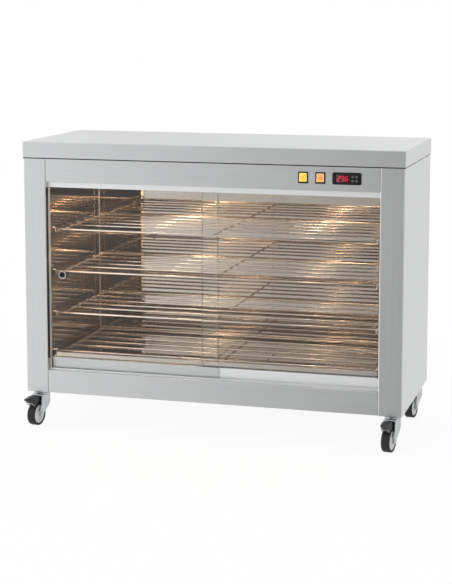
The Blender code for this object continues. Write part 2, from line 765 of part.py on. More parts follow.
def make_sill_track():
    """Stepped sill: a low groove for the front door and a high one for the rear door."""
    floor = BOTTOM + FRONT_GROOVE_FLOOR
    step = BOTTOM + STEP_HEIGHT
    riser = GROOVE_FRONT + GROOVE_WIDTH
    rear_near = GROOVE_FRONT + GROOVE_PITCH
    rear_far = rear_near + GROOVE_WIDTH
    rear_floor = step - REAR_GROOVE_DEPTH
    outline = [
        (TRACK_FRONT, floor - TRACK_WALL),
        (TRACK_FRONT, floor + FRONT_LIP_HEIGHT),
        (GROOVE_FRONT, floor + FRONT_LIP_HEIGHT),
        (GROOVE_FRONT, floor),
        (riser, floor),
        (riser, step),
        (rear_near, step),
        (rear_near, rear_floor),
        (rear_far, rear_floor),
        (rear_far, step),
        (TRACK_BACK + SILL_REAR_FLANGE, step),
        (TRACK_BACK + SILL_REAR_FLANGE, step - TRACK_WALL),
        (TRACK_BACK, step - TRACK_WALL),
        (TRACK_BACK, rear_floor - TRACK_WALL),
        (rear_near, rear_floor - TRACK_WALL),
        (rear_near, floor - TRACK_WALL),
    ]
    bm = bmesh.new()
    add_prism(bm, outline, "X", -BETWEEN_POSTS, BETWEEN_POSTS)
    add_piece("sill_track", bm, "satin_aluminium")


def make_glass_door(name, side, groove, seat):
    """One pane that stands in a sill groove and reaches into the top track."""
    closed_edge = side * (OPENING - DOOR_SIDE_PLAY)
    middle_edge = -side * DOOR_OVERLAP / 2
    near = GROOVE_FRONT + groove * GROOVE_PITCH + (GROOVE_WIDTH - GLASS) / 2
    low = (min(closed_edge, middle_edge), near, seat + TOUCH_GAP)
    high = (max(closed_edge, middle_edge), near + GLASS, TRACK_BOTTOM + DOOR_TOP_ENGAGEMENT)
    bm = bmesh.new()
    add_box(bm, low, high)
    return add_piece(name, bm, "clear_glass")


def pull_place():
    """Middle of the finger pull on the front door's outer face."""
    x = -OPENING + PULL_FROM_EDGE
    y = GROOVE_FRONT + (GROOVE_WIDTH - GLASS) / 2
    return (x, y, BOTTOM + PULL_HEIGHT)


def make_doors():
    """Front pane on the left, rear pane on the right, and the front pane's pull."""
    front = make_glass_door("left_glass_door", -1, 0, BOTTOM + FRONT_GROOVE_FLOOR)
    make_glass_door("right_glass_door", 1, 1, BOTTOM + STEP_HEIGHT - REAR_GROOVE_DEPTH)
    hole = bmesh.new()
    radius = PULL_BARREL_RADIUS + TOUCH_GAP
    through = [(0, -CUT_OVERRUN), (radius, -CUT_OVERRUN)]
    through += [(radius, GLASS + CUT_OVERRUN), (0, GLASS + CUT_OVERRUN)]
    place = Matrix.Translation(pull_place()) @ ALONG_BACK
    add_turned(hole, through, 20, place, flats_touch=True)
    add_boolean(front, add_tool("pull_hole", hole), "DIFFERENCE")
    face = -TOUCH_GAP - PULL_FLANGE
    rear = GLASS + TOUCH_GAP
    profile = [
        (0, face + PULL_CUP_DEPTH),
        (PULL_CUP_RADIUS, face + PULL_CUP_DEPTH),
        (PULL_CUP_RADIUS, face),
        (PULL_FLANGE_RADIUS, face),
        (PULL_FLANGE_RADIUS, -TOUCH_GAP),
        (PULL_BARREL_RADIUS, -TOUCH_GAP),
        (PULL_BARREL_RADIUS, rear),
        (PULL_FLANGE_RADIUS, rear),
        (PULL_FLANGE_RADIUS, rear + PULL_FLANGE),
        (0, rear + PULL_FLANGE),
    ]
    bm = bmesh.new()
    add_turned(bm, profile, 20, place)
    add_piece("door_finger_pull", bm, "black_plastic", round_piece=True)


def make_inner_chamber():
    """Polished walls, back, floor and ceiling of the heated space."""
    for name, side in (("inner_left_wall", -1), ("inner_right_wall", 1)):
        near = side * OPENING
        far = side * (OPENING + INNER_SHEET)
        bm = bmesh.new()
        low = (min(near, far), CHAMBER_FRONT, FLOOR_TOP + TOUCH_GAP)
        add_box(bm, low, (max(near, far), CHAMBER_BACK - TOUCH_GAP, UNDER_CAP))
        add_piece(name, bm, "mirror_stainless")
    side = OPENING + INNER_SHEET
    bm = bmesh.new()
    low = (-side, CHAMBER_BACK, FLOOR_TOP + TOUCH_GAP)
    add_box(bm, low, (side, CHAMBER_BACK + INNER_SHEET, UNDER_CAP))
    add_piece("inner_back_wall", bm, "mirror_stainless")
    make_inner_floor(side)
    make_inner_ceiling()


def make_inner_floor(side):
    """Chamber floor with a thick rounded lip along its front."""
    back = CHAMBER_BACK + INNER_SHEET
    lip_radius = FLOOR_LIP_WIDTH / 2
    crest = FLOOR_TOP + FLOOR_LIP_HEIGHT - lip_radius
    outline = [(CHAMBER_FRONT, FLOOR_UNDERSIDE), (back, FLOOR_UNDERSIDE), (back, FLOOR_TOP)]
    outline.append((CHAMBER_FRONT + FLOOR_LIP_WIDTH, FLOOR_TOP))
    outline += arc((CHAMBER_FRONT + lip_radius, crest), lip_radius, 0, pi, 6)
    bm = bmesh.new()
    add_prism(bm, outline, "X", -side, side)
    floor = add_piece("inner_floor", bm, "mirror_stainless")
    cutter = bmesh.new()
    for end in (-1, 1):
        near = end * (OPENING - FLOOR_LIP_END)
        far = end * (OPENING + CUT_OVERRUN)
        low = (min(near, far), CHAMBER_FRONT - CUT_OVERRUN, FLOOR_TOP + TOUCH_GAP)
        high_y = CHAMBER_FRONT + FLOOR_LIP_WIDTH + CUT_OVERRUN
        add_box(cutter, low, (max(near, far), high_y, FLOOR_TOP + FLOOR_LIP_HEIGHT + CUT_OVERRUN))
    add_boolean(floor, add_tool("floor_lip_ends", cutter), "DIFFERENCE")


def make_inner_ceiling():
    """One folded sheet: floor and back of the control box, then the ceiling."""
    path = [
        (TRACK_FRONT, CONTROL_BOX_FLOOR),
        (FRONT + CONTROL_BOX_DEPTH, CONTROL_BOX_FLOOR),
        (FRONT + CONTROL_BOX_DEPTH, CEILING),
        (CHAMBER_BACK - TOUCH_GAP, CEILING),
    ]
    bm = bmesh.new()
    add_prism(bm, folded_sheet(path, INNER_SHEET), "X", -BETWEEN_POSTS, BETWEEN_POSTS)
    add_piece("inner_ceiling", bm, "mirror_stainless")


def shelf_heights():
    """Height of each shelf's frame above the body's bottom, lowest first."""
    heights = [LOWEST_SHELF]
    for i in range(SHELF_COUNT - 1):
        heights.append(LOWEST_SHELF + LOWEST_SHELF_GAP + i * SHELF_PITCH)
    return heights


def make_wire_shelf(name, height):
    """Frame rods, deck rods on top of them and a cross rod in the middle, all welded."""
    front = FRONT + SHELF_FRONT
    back = CHAMBER_BACK - SHELF_BACK_CLEARANCE
    tab = OPENING - SHELF_TAB_INSET
    side = OPENING - SHELF_SIDE_INSET
    z = BOTTOM + height
    deck_z = z + FRAME_ROD_RADIUS + DECK_ROD_RADIUS - WELD_DEPTH
    bm = bmesh.new()
    for y in (front, back):
        add_rod(bm, [(-tab, y, z), (tab, y, z)], FRAME_ROD_RADIUS)
    for i in range(int((back - front - LAST_DECK_ROD_GAP) / DECK_ROD_PITCH)):
        y = front + (i + 1) * DECK_ROD_PITCH
        end = side + DECK_ROD_END
        add_rod(bm, [(-end, y, deck_z), (end, y, deck_z)], DECK_ROD_RADIUS)
    shelf = add_piece(name, bm, "chromed_wire", round_piece=True)
    crossing = bmesh.new()
    for x in (-side, 0, side):
        add_rod(crossing, [(x, front, z), (x, back, z)], DECK_ROD_RADIUS)
    add_boolean(shelf, add_tool(name + "_cross_rods", crossing), "UNION")


def make_shelf_rack(name, side):
    """Rear upright bent to the wall at its top, with a hooked ledge for each shelf."""
    upright_x = side * (OPENING - UPRIGHT_INSET)
    ledge_x = side * (OPENING - LEDGE_INSET)
    wall_x = side * (OPENING - TOUCH_GAP)
    front = FRONT + SHELF_FRONT
    back = CHAMBER_BACK - SHELF_BACK_CLEARANCE
    top = CEILING - RACK_BELOW_CEILING
    bm = bmesh.new()
    y = back - UPRIGHT_FROM_SHELF_END
    path = [(upright_x, y, FLOOR_TOP + TOUCH_GAP), (upright_x, y, top), (wall_x, y, top)]
    add_rod(bm, path, UPRIGHT_RADIUS)
    rack = add_piece(name, bm, "chromed_wire", round_piece=True)
    ledges = bmesh.new()
    for height in shelf_heights():
        z = BOTTOM + height - FRAME_ROD_RADIUS - LEDGE_RADIUS - TOUCH_GAP
        hook = front - LEDGE_FRONT_OVERHANG
        path = [
            (wall_x, hook, z + LEDGE_HOOK_HEIGHT),
            (ledge_x, hook, z + LEDGE_HOOK_HEIGHT),
            (ledge_x, hook, z),
            (ledge_x, back + FRAME_ROD_RADIUS, z),
        ]
        radii = [ROD_BEND_RADIUS, ROD_BEND_RADIUS]
        add_rod(ledges, round_corners(path, radii, 3), LEDGE_RADIUS)
    add_boolean(rack, add_tool(name + "_ledges", ledges), "UNION")


def make_lamps():
    """Two bulbs in porcelain holders under the ceiling."""
    for name, side in (("left", -1), ("right", 1)):
        place = Matrix.Translation((side * LAMP_FROM_CENTRE, FRONT + LAMP_DEPTH, CEILING))
        bottom = -TOUCH_GAP - HOLDER_LENGTH
        socket = bottom + SOCKET_DEPTH
        holder = [
            (0, -TOUCH_GAP),
            (HOLDER_FLANGE_RADIUS, -TOUCH_GAP),
            (HOLDER_FLANGE_RADIUS, -TOUCH_GAP - HOLDER_FLANGE),
            (HOLDER_RADIUS, -TOUCH_GAP - HOLDER_FLANGE),
            (HOLDER_RADIUS, bottom),
            (SOCKET_RADIUS, bottom),
            (SOCKET_RADIUS, socket),
            (0, socket),
        ]
        bm = bmesh.new()
        add_turned(bm, holder, 16, place)
        add_piece(name + "_lamp_holder", bm, "porcelain", round_piece=True)
        neck_top = socket - TOUCH_GAP
        shoulder = neck_top - BULB_NECK_LENGTH
        bulb = [(0, neck_top), (BULB_NECK_RADIUS, neck_top), (BULB_NECK_RADIUS, shoulder)]
        middle = shoulder - BULB_LENGTH / 2
        for angle in (45, 15, -15, -45, -70):
            lean = radians(angle)
            bulb.append((BULB_RADIUS * cos(lean), middle + BULB_LENGTH / 2 * sin(lean)))
        bulb.append((0, middle - BULB_LENGTH / 2))
        bm = bmesh.new()
        add_turned(bm, bulb, 16, place)
        add_piece(name + "_lamp_bulb", bm, "warm_bulb", round_piece=True)


def make_heating_element():
    """Tubular element folded into rows under the floor, on two brackets."""
    z = BOTTOM + ELEMENT_HEIGHT
    bend = ELEMENT_ROW_PITCH / 2
    path = [(ELEMENT_HALF_LENGTH, FRONT + ELEMENT_FIRST_ROW, z)]
    for row in range(ELEMENT_ROWS - 1):
        y = FRONT + ELEMENT_FIRST_ROW + row * ELEMENT_ROW_PITCH
        side = -1 if row % 2 == 0 else 1
        turn = (side * (ELEMENT_HALF_LENGTH - bend), y + bend)
        for x, along in arc(turn, bend, -pi / 2, pi / 2, ELEMENT_BEND_STEPS):
            path.append((turn[0] + side * (x - turn[0]), along, z))
    last = FRONT + ELEMENT_FIRST_ROW + (ELEMENT_ROWS - 1) * ELEMENT_ROW_PITCH
    end_side = 1 if ELEMENT_ROWS % 2 == 0 else -1
    path.append((end_side * ELEMENT_HALF_LENGTH, last, z))
    bm = bmesh.new()
    add_rod(bm, path, ELEMENT_RADIUS)
    add_piece("heating_element", bm, "element_steel", round_piece=True)
    under = z - ELEMENT_RADIUS - TOUCH_GAP
    foot = PAN_TOP + TOUCH_GAP
    start = FRONT + ELEMENT_FIRST_ROW - BRACKET_OVERHANG
    end = last + BRACKET_OVERHANG
    for name, side in (("left", -1), ("right", 1)):
        x = side * (ELEMENT_HALF_LENGTH - BRACKET_FROM_END)
        path = [(x + side * BRACKET_FOOT, foot), (x, foot), (x, under)]
        outline = folded_sheet(path, -side * BRACKET_SHEET)
        bm = bmesh.new()
        add_prism(bm, outline, "Y", start, end)
        add_piece(name + "_element_bracket", bm, "zinc_steel")


def make_temperature_probe():
    """Probe that sticks out of the right inner wall above the top shelf."""
    height = CEILING - PROBE_BELOW_CEILING
    place = Matrix.Translation((OPENING, FRONT + PROBE_DEPTH, height)) @ ALONG_X
    profile = [
        (0, -TOUCH_GAP),
        (PROBE_NUT_RADIUS, -TOUCH_GAP),
        (PROBE_NUT_RADIUS, -TOUCH_GAP - PROBE_NUT_LENGTH),
        (PROBE_RADIUS, -TOUCH_GAP - PROBE_NUT_LENGTH),
        (PROBE_RADIUS, -PROBE_LENGTH + PROBE_RADIUS),
        (0, -PROBE_LENGTH),
    ]
    bm = bmesh.new()
    add_turned(bm, profile, 12, place)
    add_piece("temperature_probe", bm, "zinc_steel", round_piece=True)


def make_switch(name, from_right, finish):
    """Square bezel and body behind the fascia, with a lit rocker in its cavity."""
    middle = switch_place(from_right)
    bezel_back = FRONT - TOUCH_GAP
    bezel_front = bezel_back - SWITCH_BEZEL
    half_width = SWITCH_BEZEL_WIDTH / 2 - SWITCH_RIM
    half_height = SWITCH_BEZEL_HEIGHT / 2 - SWITCH_RIM
    bm = bmesh.new()
    corner = SWITCH_BODY_STEP / 2
    bezel = rounded_rectangle(middle, SWITCH_BEZEL_WIDTH, SWITCH_BEZEL_HEIGHT, corner)
    add_prism(bm, bezel, "Y", bezel_front, bezel_back)
    housing = add_piece(name + "_switch_housing", bm, "black_plastic")
    body = bmesh.new()
    body_back = FRONT + SWITCH_BODY_DEPTH
    add_prism(body, switch_body_outline(middle), "Y", bezel_back - SWITCH_BEZEL / 2, body_back)
    add_boolean(housing, add_tool(name + "_switch_body", body), "UNION")
    cavity = bmesh.new()
    low = (middle[0] - half_width, middle[1] - half_height)
    high = (middle[0] + half_width, middle[1] + half_height)
    opening = rectangle(low[0], low[1], high[0], high[1])
    cavity_back = bezel_front + SWITCH_CAVITY_DEPTH
    add_prism(cavity, opening, "Y", bezel_front - CUT_OVERRUN, cavity_back)
    add_boolean(housing, add_tool(name + "_switch_cavity", cavity), "DIFFERENCE")
    make_rocker(name + "_switch_rocker", middle, bezel_front, half_width, half_height, finish)


def make_rocker(name, middle, bezel_front, half_width, half_height, finish):
    """Lit rocker with a shallow V face, resting with its upper half pressed in."""
    tilt = radians(ROCKER_TILT_DEG)
    reach = half_height - ROCKER_END_PLAY
    face = -ROCKER_PIVOT_DEPTH + ROCKER_FACE_DEPTH
    proud = face - reach * tan(tilt)
    back = ROCKER_BACK_SHARE * reach
    neutral = [(proud, reach), (face, 0), (proud, -reach), (back / 2, -reach * ROCKER_BACK_SHARE)]
    neutral += [(back, 0), (back / 2, reach * ROCKER_BACK_SHARE)]
    outline = []
    for y, z in neutral:
        outline.append((y * cos(tilt) + z * sin(tilt), z * cos(tilt) - y * sin(tilt)))
    bm = bmesh.new()
    width = half_width - ROCKER_PLAY
    add_prism(bm, outline, "X", -width, width)
    rocker = add_piece(name, bm, finish)
    rocker.location = (middle[0], bezel_front + ROCKER_PIVOT_DEPTH, middle[1])


def make_controller():
    """Digital thermostat: bezel and body, display window and four keys."""
    middle = switch_place(CONTROLLER_FROM_RIGHT)
    bezel_back = FRONT - TOUCH_GAP
    bezel_front = bezel_back - CONTROLLER_BEZEL
    left = middle[0] - CONTROLLER_WIDTH / 2
    bm = bmesh.new()
    outline = rounded_rectangle(middle, CONTROLLER_WIDTH, CONTROLLER_HEIGHT, CONTROLLER_CORNER)
    add_prism(bm, outline, "Y", bezel_front, bezel_back)
    controller = add_piece("controller_body", bm, "black_plastic")
    body = bmesh.new()
    body_back = FRONT + CONTROLLER_BODY_DEPTH
    add_prism(body, controller_body_outline(), "Y", bezel_back - CONTROLLER_BEZEL / 2, body_back)
    add_boolean(controller, add_tool("controller_rear", body), "UNION")
    window_x = left + WINDOW_FROM_LEFT
    recess = bmesh.new()
    recess_low = (window_x - WINDOW_WIDTH / 2, middle[1] - WINDOW_HEIGHT / 2)
    recess_high = (window_x + WINDOW_WIDTH / 2, middle[1] + WINDOW_HEIGHT / 2)
    recess_back = bezel_front + WINDOW_THICKNESS + TOUCH_GAP
    hollow = rectangle(recess_low[0], recess_low[1], recess_high[0], recess_high[1])
    add_prism(recess, hollow, "Y", bezel_front - CUT_OVERRUN, recess_back)
    add_boolean(controller, add_tool("window_recess", recess), "DIFFERENCE")
    bm = bmesh.new()
    low = (recess_low[0] + TOUCH_GAP, bezel_front, recess_low[1] + TOUCH_GAP)
    window_back = bezel_front + WINDOW_THICKNESS
    add_box(bm, low, (recess_high[0] - TOUCH_GAP, window_back, recess_high[1] - TOUCH_GAP))
    add_piece("controller_window", bm, "red_window")
    make_keys(controller, left + KEYS_FROM_LEFT, middle[1], bezel_front)


def make_keys(controller, middle_x, middle_z, bezel_front):
    """Two rows of two keys, each in its own pocket."""
    pockets = bmesh.new()
    key_front = bezel_front - KEY_PROUD
    key_back = key_front + KEY_THICKNESS
    pocket_back = key_back + KEY_TRAVEL + TOUCH_GAP
    for row, z_side in (("upper", 1), ("lower", -1)):
        for column, x_side in (("left", -1), ("right", 1)):
            x = middle_x + x_side * KEY_PITCH_X / 2
            z = middle_z + z_side * KEY_PITCH_Z / 2
            wide = KEY_WIDTH / 2
            tall = KEY_HEIGHT / 2
            low = (x - wide - KEY_PLAY, bezel_front - CUT_OVERRUN, z - tall - KEY_PLAY)
            add_box(pockets, low, (x + wide + KEY_PLAY, pocket_back, z + tall + KEY_PLAY))
            bm = bmesh.new()
            add_box(bm, (-wide, 0, -tall), (wide, KEY_THICKNESS, tall))
            key = add_piece("_".join((row, column, "key")), bm, "grey_key")
            key.location = (x, key_front, z)
    add_boolean(controller, add_tool("key_pockets", pockets), "DIFFERENCE")


def make_castor(prefix, spot, braked):
    """Fixed head with its stem, swivelling fork with the axle, hub, tyre and brake."""
    heading = -CASTOR_HEADING
    make_castor_head(prefix, spot)
    swivel = add_pivot(prefix + "_swivel_axis", (spot[0], spot[1], 0), heading)
    make_castor_fork(prefix, swivel)
    wheel = add_pivot(prefix + "_wheel_axis", (0, -CASTOR_TRAIL, WHEEL_RADIUS), 0.0, swivel)
    boss = HUB_BOSS_WIDTH / 2
    rim = HUB_WIDTH / 2
    bore = AXLE_RADIUS + TOUCH_GAP
    hub = [
        (bore, -boss),
        (HUB_BOSS_RADIUS, -boss),
        (HUB_BOSS_RADIUS + (boss - rim), -rim),
        (HUB_RADIUS, -rim),
        (HUB_RADIUS, rim),
        (HUB_BOSS_RADIUS + (boss - rim), rim),
        (HUB_BOSS_RADIUS, boss),
        (bore, boss),
    ]
    bm = bmesh.new()
    add_turned(bm, hub, WHEEL_SIDES, ALONG_X, closed=True, flats_touch=True)
    add_piece(prefix + "_wheel_hub", bm, "grey_hub", wheel, round_piece=True)
    seat = HUB_RADIUS + TOUCH_GAP
    side = TYRE_WIDTH / 2
    tread = side - TYRE_SHOULDER
    tyre = [
        (seat, -rim - TOUCH_GAP),
        (WHEEL_RADIUS - TYRE_SHOULDER, -side),
        (WHEEL_RADIUS, -tread),
        (WHEEL_RADIUS, tread),
        (WHEEL_RADIUS - TYRE_SHOULDER, side),
        (seat, rim + TOUCH_GAP),
    ]
    bm = bmesh.new()
    add_turned(bm, tyre, WHEEL_SIDES, ALONG_X, closed=True, flats_touch=True)
    add_piece(prefix + "_tyre", bm, "black_rubber", wheel, round_piece=True)
    if braked:
        make_brake_pedal(prefix, swivel)


def make_castor_head(prefix, spot):
    """Swivel head: kingpin through the fork, ball race, and stem with nut in the pan."""
    nut = PAN_TOP + TOUCH_GAP
    rivet = CROWN_UNDERSIDE - TOUCH_GAP
    race_top = HEAD_UNDERSIDE + RACE_HEIGHT
    profile = [
        (0, rivet - KINGPIN_HEAD),
        (KINGPIN_HEAD_RADIUS, rivet - KINGPIN_HEAD),
        (KINGPIN_HEAD_RADIUS, rivet),
        (KINGPIN_RADIUS, rivet),
        (KINGPIN_RADIUS, HEAD_UNDERSIDE),
        (RACE_RADIUS - RACE_CHAMFER, HEAD_UNDERSIDE),
        (RACE_RADIUS, HEAD_UNDERSIDE + RACE_CHAMFER),
        (RACE_RADIUS, race_top - RACE_CHAMFER),
        (RACE_RADIUS - RACE_CHAMFER, race_top),
        (WASHER_RADIUS, race_top),
        (WASHER_RADIUS, HEAD_TOP),
        (STEM_RADIUS, HEAD_TOP),
        (STEM_RADIUS, nut),
        (STEM_NUT_RADIUS, nut),
        (STEM_NUT_RADIUS, nut + STEM_NUT_HEIGHT),
        (STEM_RADIUS, nut + STEM_NUT_HEIGHT),
        (STEM_RADIUS, nut + STEM_NUT_HEIGHT + STEM_END),
        (0, nut + STEM_NUT_HEIGHT + STEM_END),
    ]
    bm = bmesh.new()
    add_turned(bm, profile, 12, Matrix.Translation((spot[0], spot[1], 0)))
    add_piece(prefix + "_castor_head", bm, "zinc_steel", round_piece=True)


def make_castor_fork(prefix, swivel):
    """Crown and two tapering legs, joined by the axle with its bolt heads."""
    axle = (-CASTOR_TRAIL, WHEEL_RADIUS)
    outline = [(FORK_CROWN_BACK, FORK_TOP), (FORK_CROWN_BACK, FORK_TOP - FORK_BACK_EDGE)]
    outline += arc(axle, FORK_BOSS_RADIUS, radians(-20), radians(-190), 6)
    front = -FORK_CROWN_FRONT - FORK_FRONT_BULGE
    outline += [(front, FORK_TOP - FORK_FRONT_EDGE), (-FORK_CROWN_FRONT, FORK_TOP)]
    half = FORK_GAP / 2 + FORK_LEG
    bm = bmesh.new()
    add_prism(bm, outline, "X", -half, half)
    fork = add_piece(prefix + "_castor_fork", bm, "zinc_steel", swivel)
    gap = bmesh.new()
    far = CASTOR_TRAIL + WHEEL_RADIUS + CUT_OVERRUN
    low = (-FORK_GAP / 2, -far, -CUT_OVERRUN)
    add_box(gap, low, (FORK_GAP / 2, FORK_CROWN_BACK + CUT_OVERRUN, CROWN_UNDERSIDE))
    add_boolean(fork, add_tool(prefix + "_fork_gap", gap, swivel), "DIFFERENCE")
    hole = bmesh.new()
    bore = KINGPIN_RADIUS + TOUCH_GAP
    above = FORK_TOP + CUT_OVERRUN
    below = CROWN_UNDERSIDE - CUT_OVERRUN
    add_turned(hole, [(0, below), (bore, below), (bore, above), (0, above)], 12, flats_touch=True)
    add_boolean(fork, add_tool(prefix + "_kingpin_hole", hole, swivel), "DIFFERENCE")
    head_end = half + AXLE_HEAD
    bury = half - FORK_LEG / 2
    profile = [
        (0, -head_end),
        (AXLE_HEAD_RADIUS, -head_end),
        (AXLE_HEAD_RADIUS, -bury),
        (AXLE_RADIUS, -bury),
        (AXLE_RADIUS, bury),
        (AXLE_HEAD_RADIUS, bury),
        (AXLE_HEAD_RADIUS, head_end),
        (0, head_end),
    ]
    bolt = bmesh.new()
    place = Matrix.Translation((0, axle[0], axle[1])) @ ALONG_X
    add_turned(bolt, profile, 12, place)
    add_boolean(fork, add_tool(prefix + "_axle", bolt, swivel), "UNION")


def make_brake_pedal(prefix, swivel):
    """Toe pedal over the wheel, on a pin between the fork's legs."""
    pivot_place = (0, -PEDAL_PIVOT_REACH, WHEEL_TOP + PEDAL_PIVOT_RISE)
    pivot = add_pivot(prefix + "_brake_axis", pivot_place, 0.0, swivel)
    outline = []
    for reach_share, rise_share in PEDAL_SIDE_SHARES:
        y = PEDAL_PIVOT_REACH - PEDAL_LENGTH * reach_share
        outline.append((y, PEDAL_RISE * rise_share - PEDAL_PIVOT_RISE))
    bm = bmesh.new()
    add_prism(bm, outline, "X", -PEDAL_WIDTH / 2, PEDAL_WIDTH / 2)
    pedal = add_piece(prefix + "_brake_pedal", bm, "dark_steel", pivot)
    wide = PEDAL_WIDTH / 2 + TOUCH_GAP
    toe = PEDAL_TOE_WIDTH / 2
    taper = PEDAL_PIVOT_REACH - PEDAL_LENGTH * PEDAL_TAPER_SHARE
    tip = PEDAL_PIVOT_REACH - PEDAL_LENGTH
    plan = [(wide, PEDAL_PIVOT_REACH), (-wide, PEDAL_PIVOT_REACH), (-wide, taper)]
    plan += [(-toe, tip), (toe, tip), (wide, taper)]
    blade = bmesh.new()
    add_prism(blade, plan, "Z", -PEDAL_RISE, 2 * PEDAL_RISE)
    add_boolean(pedal, add_tool(prefix + "_pedal_plan", blade, pivot), "INTERSECT")
    pin = bmesh.new()
    end = FORK_GAP / 2 - TOUCH_GAP
    profile = [(0, -end), (PEDAL_PIN_RADIUS, -end), (PEDAL_PIN_RADIUS, end), (0, end)]
    add_turned(pin, profile, 12, ALONG_X)
    add_boolean(pedal, add_tool(prefix + "_brake_pin", pin, pivot), "UNION")


def main():
    clear_scene()
    make_top_cap()
    make_side_panel("left_side_panel", -1)
    make_side_panel("right_side_panel", 1)
    make_rear_panel()
    make_base_pan()
    make_control_fascia()
    make_bottom_rail()
    make_top_track()
    make_sill_track()
    make_doors()
    make_inner_chamber()
    for number, height in enumerate(reversed(shelf_heights()), start=1):
        make_wire_shelf("wire_shelf_" + str(number), height)
    make_shelf_rack("left_shelf_rack", -1)
    make_shelf_rack("right_shelf_rack", 1)
    make_lamps()
    make_heating_element()
    make_temperature_probe()
    make_cable_gland()
    make_switch("heating", HEATING_SWITCH_FROM_RIGHT, "amber_lens")
    make_switch("light", LIGHT_SWITCH_FROM_RIGHT, "orange_lens")
    make_controller()
    for prefix, spot, braked in castor_places():
        make_castor(prefix, spot, braked)


main()
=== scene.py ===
"""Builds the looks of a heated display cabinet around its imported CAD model."""

from math import cos, pi, radians, sin, tan

import bmesh
import bpy
from bpy.props import FloatProperty, FloatVectorProperty, IntProperty, PointerProperty
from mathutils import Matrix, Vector


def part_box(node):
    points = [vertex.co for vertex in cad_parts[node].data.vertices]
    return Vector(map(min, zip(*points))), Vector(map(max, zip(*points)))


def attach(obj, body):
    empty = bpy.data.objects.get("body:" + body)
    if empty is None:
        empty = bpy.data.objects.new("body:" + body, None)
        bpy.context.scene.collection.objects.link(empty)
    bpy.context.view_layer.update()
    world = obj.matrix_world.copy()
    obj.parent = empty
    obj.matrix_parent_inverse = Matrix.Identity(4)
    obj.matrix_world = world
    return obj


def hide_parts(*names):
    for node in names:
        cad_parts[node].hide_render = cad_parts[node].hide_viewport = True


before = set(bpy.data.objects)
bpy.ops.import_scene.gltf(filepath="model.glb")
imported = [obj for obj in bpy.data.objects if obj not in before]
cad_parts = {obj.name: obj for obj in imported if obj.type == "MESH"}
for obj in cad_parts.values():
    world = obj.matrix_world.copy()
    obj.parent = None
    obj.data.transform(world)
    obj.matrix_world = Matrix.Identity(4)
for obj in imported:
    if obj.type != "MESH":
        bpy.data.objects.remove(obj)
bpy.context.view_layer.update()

bl_info = {
    "name": "Heated Display Cabinet",
    "version": (1, 0, 0),
    "blender": (4, 5, 0),
    "location": "View3D > Sidebar > Cabinet",
    "description": "Models and finishes a heated cabinet with sliding glass doors",
    "category": "Add Mesh",
}

MM = 0.001

# Photograph's view, in metres, radians and its own pixels
PHOTO_HEIGHT = 584
FOCAL_PIXELS = 1549.5
OPTICAL_CENTRE = 210
CAMERA_PLACE = (1.1606, -4.0910, 1.1429)
CAMERA_PITCH = radians(7.325)
CAMERA_TURN = radians(15.904)
SENSOR = 36.0

# Below float glass's 1.52, so that the pale studio in the panes doesn't hide the chamber
GLASS_IOR = 1.32

# Nearly all values of a noise texture lie in this range
NOISE_RANGE = {"From Min": 0.3, "From Max": 0.7}

# The castors' heading, and their axle's depth from the swivel axis and height, in mm
CORNERS = ("front_left", "front_right", "rear_left", "rear_right")
HEADING = radians(-9.0)
AXLE_Y = -27.0
AXLE_Z = 31.0

DOUBLES = 0.002 * MM
ROD_CHAMFER = 0.35


# Modelling

def put_down():
    """Leave edit mode and let go of everything that is selected."""
    if bpy.context.mode != "OBJECT":
        bpy.ops.object.mode_set(mode="OBJECT")
    bpy.ops.object.select_all(action="DESELECT")


def pick_up(piece):
    """Select one piece alone and make it the active one."""
    put_down()
    piece.select_set(True)
    bpy.context.view_layer.objects.active = piece


def settle():
    """Put the place, turn and scale of what is selected into its mesh."""
    bpy.ops.object.transform_apply(location=True, rotation=True, scale=True)


def edit_all():
    """Enter edit mode on the active piece with every vertex selected."""
    bpy.ops.object.mode_set(mode="EDIT")
    bpy.context.tool_settings.mesh_select_mode = (True, False, False)
    bpy.ops.mesh.select_all(action="SELECT")


def choose(kind, wanted):
    """Enter edit mode on the active piece and select only its wanted edges or faces."""
    bpy.ops.object.mode_set(mode="EDIT")
    bpy.context.tool_settings.mesh_select_mode = (False, kind == "EDGE", kind == "FACE")
    bpy.ops.mesh.select_all(action="DESELECT")
    piece = bpy.context.edit_object
    mesh = bmesh.from_edit_mesh(piece.data)
    for element in mesh.edges if kind == "EDGE" else mesh.faces:
        if wanted(element):
            element.select_set(True)
    bmesh.update_edit_mesh(piece.data)


def looks_ahead(face):
    """True for a face that looks to the cabinet's front."""
    return face.normal.y < -0.99


def runs_back(edge):
    """True for an edge that runs from front to back."""
    start, end = edge.verts
    return abs((end.co - start.co).normalized().y) > 0.9


def offset(spot, x, y, z):
    """A place that lies so many mm from a spot."""
    return spot + Vector((x, y, z)) * MM


def extrude(shift):
    """Extrude what is selected along a shift."""
    bpy.ops.mesh.extrude_region_move(TRANSFORM_OT_translate={"value": shift})


def draw(points, filled=False):
    """Draw a line by extruding one vertex from point to point, and fill it if asked."""
    put_down()
    bpy.ops.mesh.primitive_plane_add(size=MM, location=points[0])
    edit_all()
    bpy.ops.mesh.merge(type="CENTER")
    for start, end in zip(points, points[1:]):
        extrude(Vector(end) - Vector(start))
    if filled:
        bpy.ops.mesh.select_all(action="SELECT")
        bpy.ops.mesh.edge_face_add()
    return bpy.context.edit_object


def close_up(piece):
    """Merge doubled vertices, point the faces outwards and leave edit mode."""
    pick_up(piece)
    edit_all()
    bpy.ops.mesh.remove_doubles(threshold=DOUBLES)
    bpy.ops.mesh.normals_make_consistent(inside=False)
    bpy.ops.object.mode_set(mode="OBJECT")
    settle()
    return piece


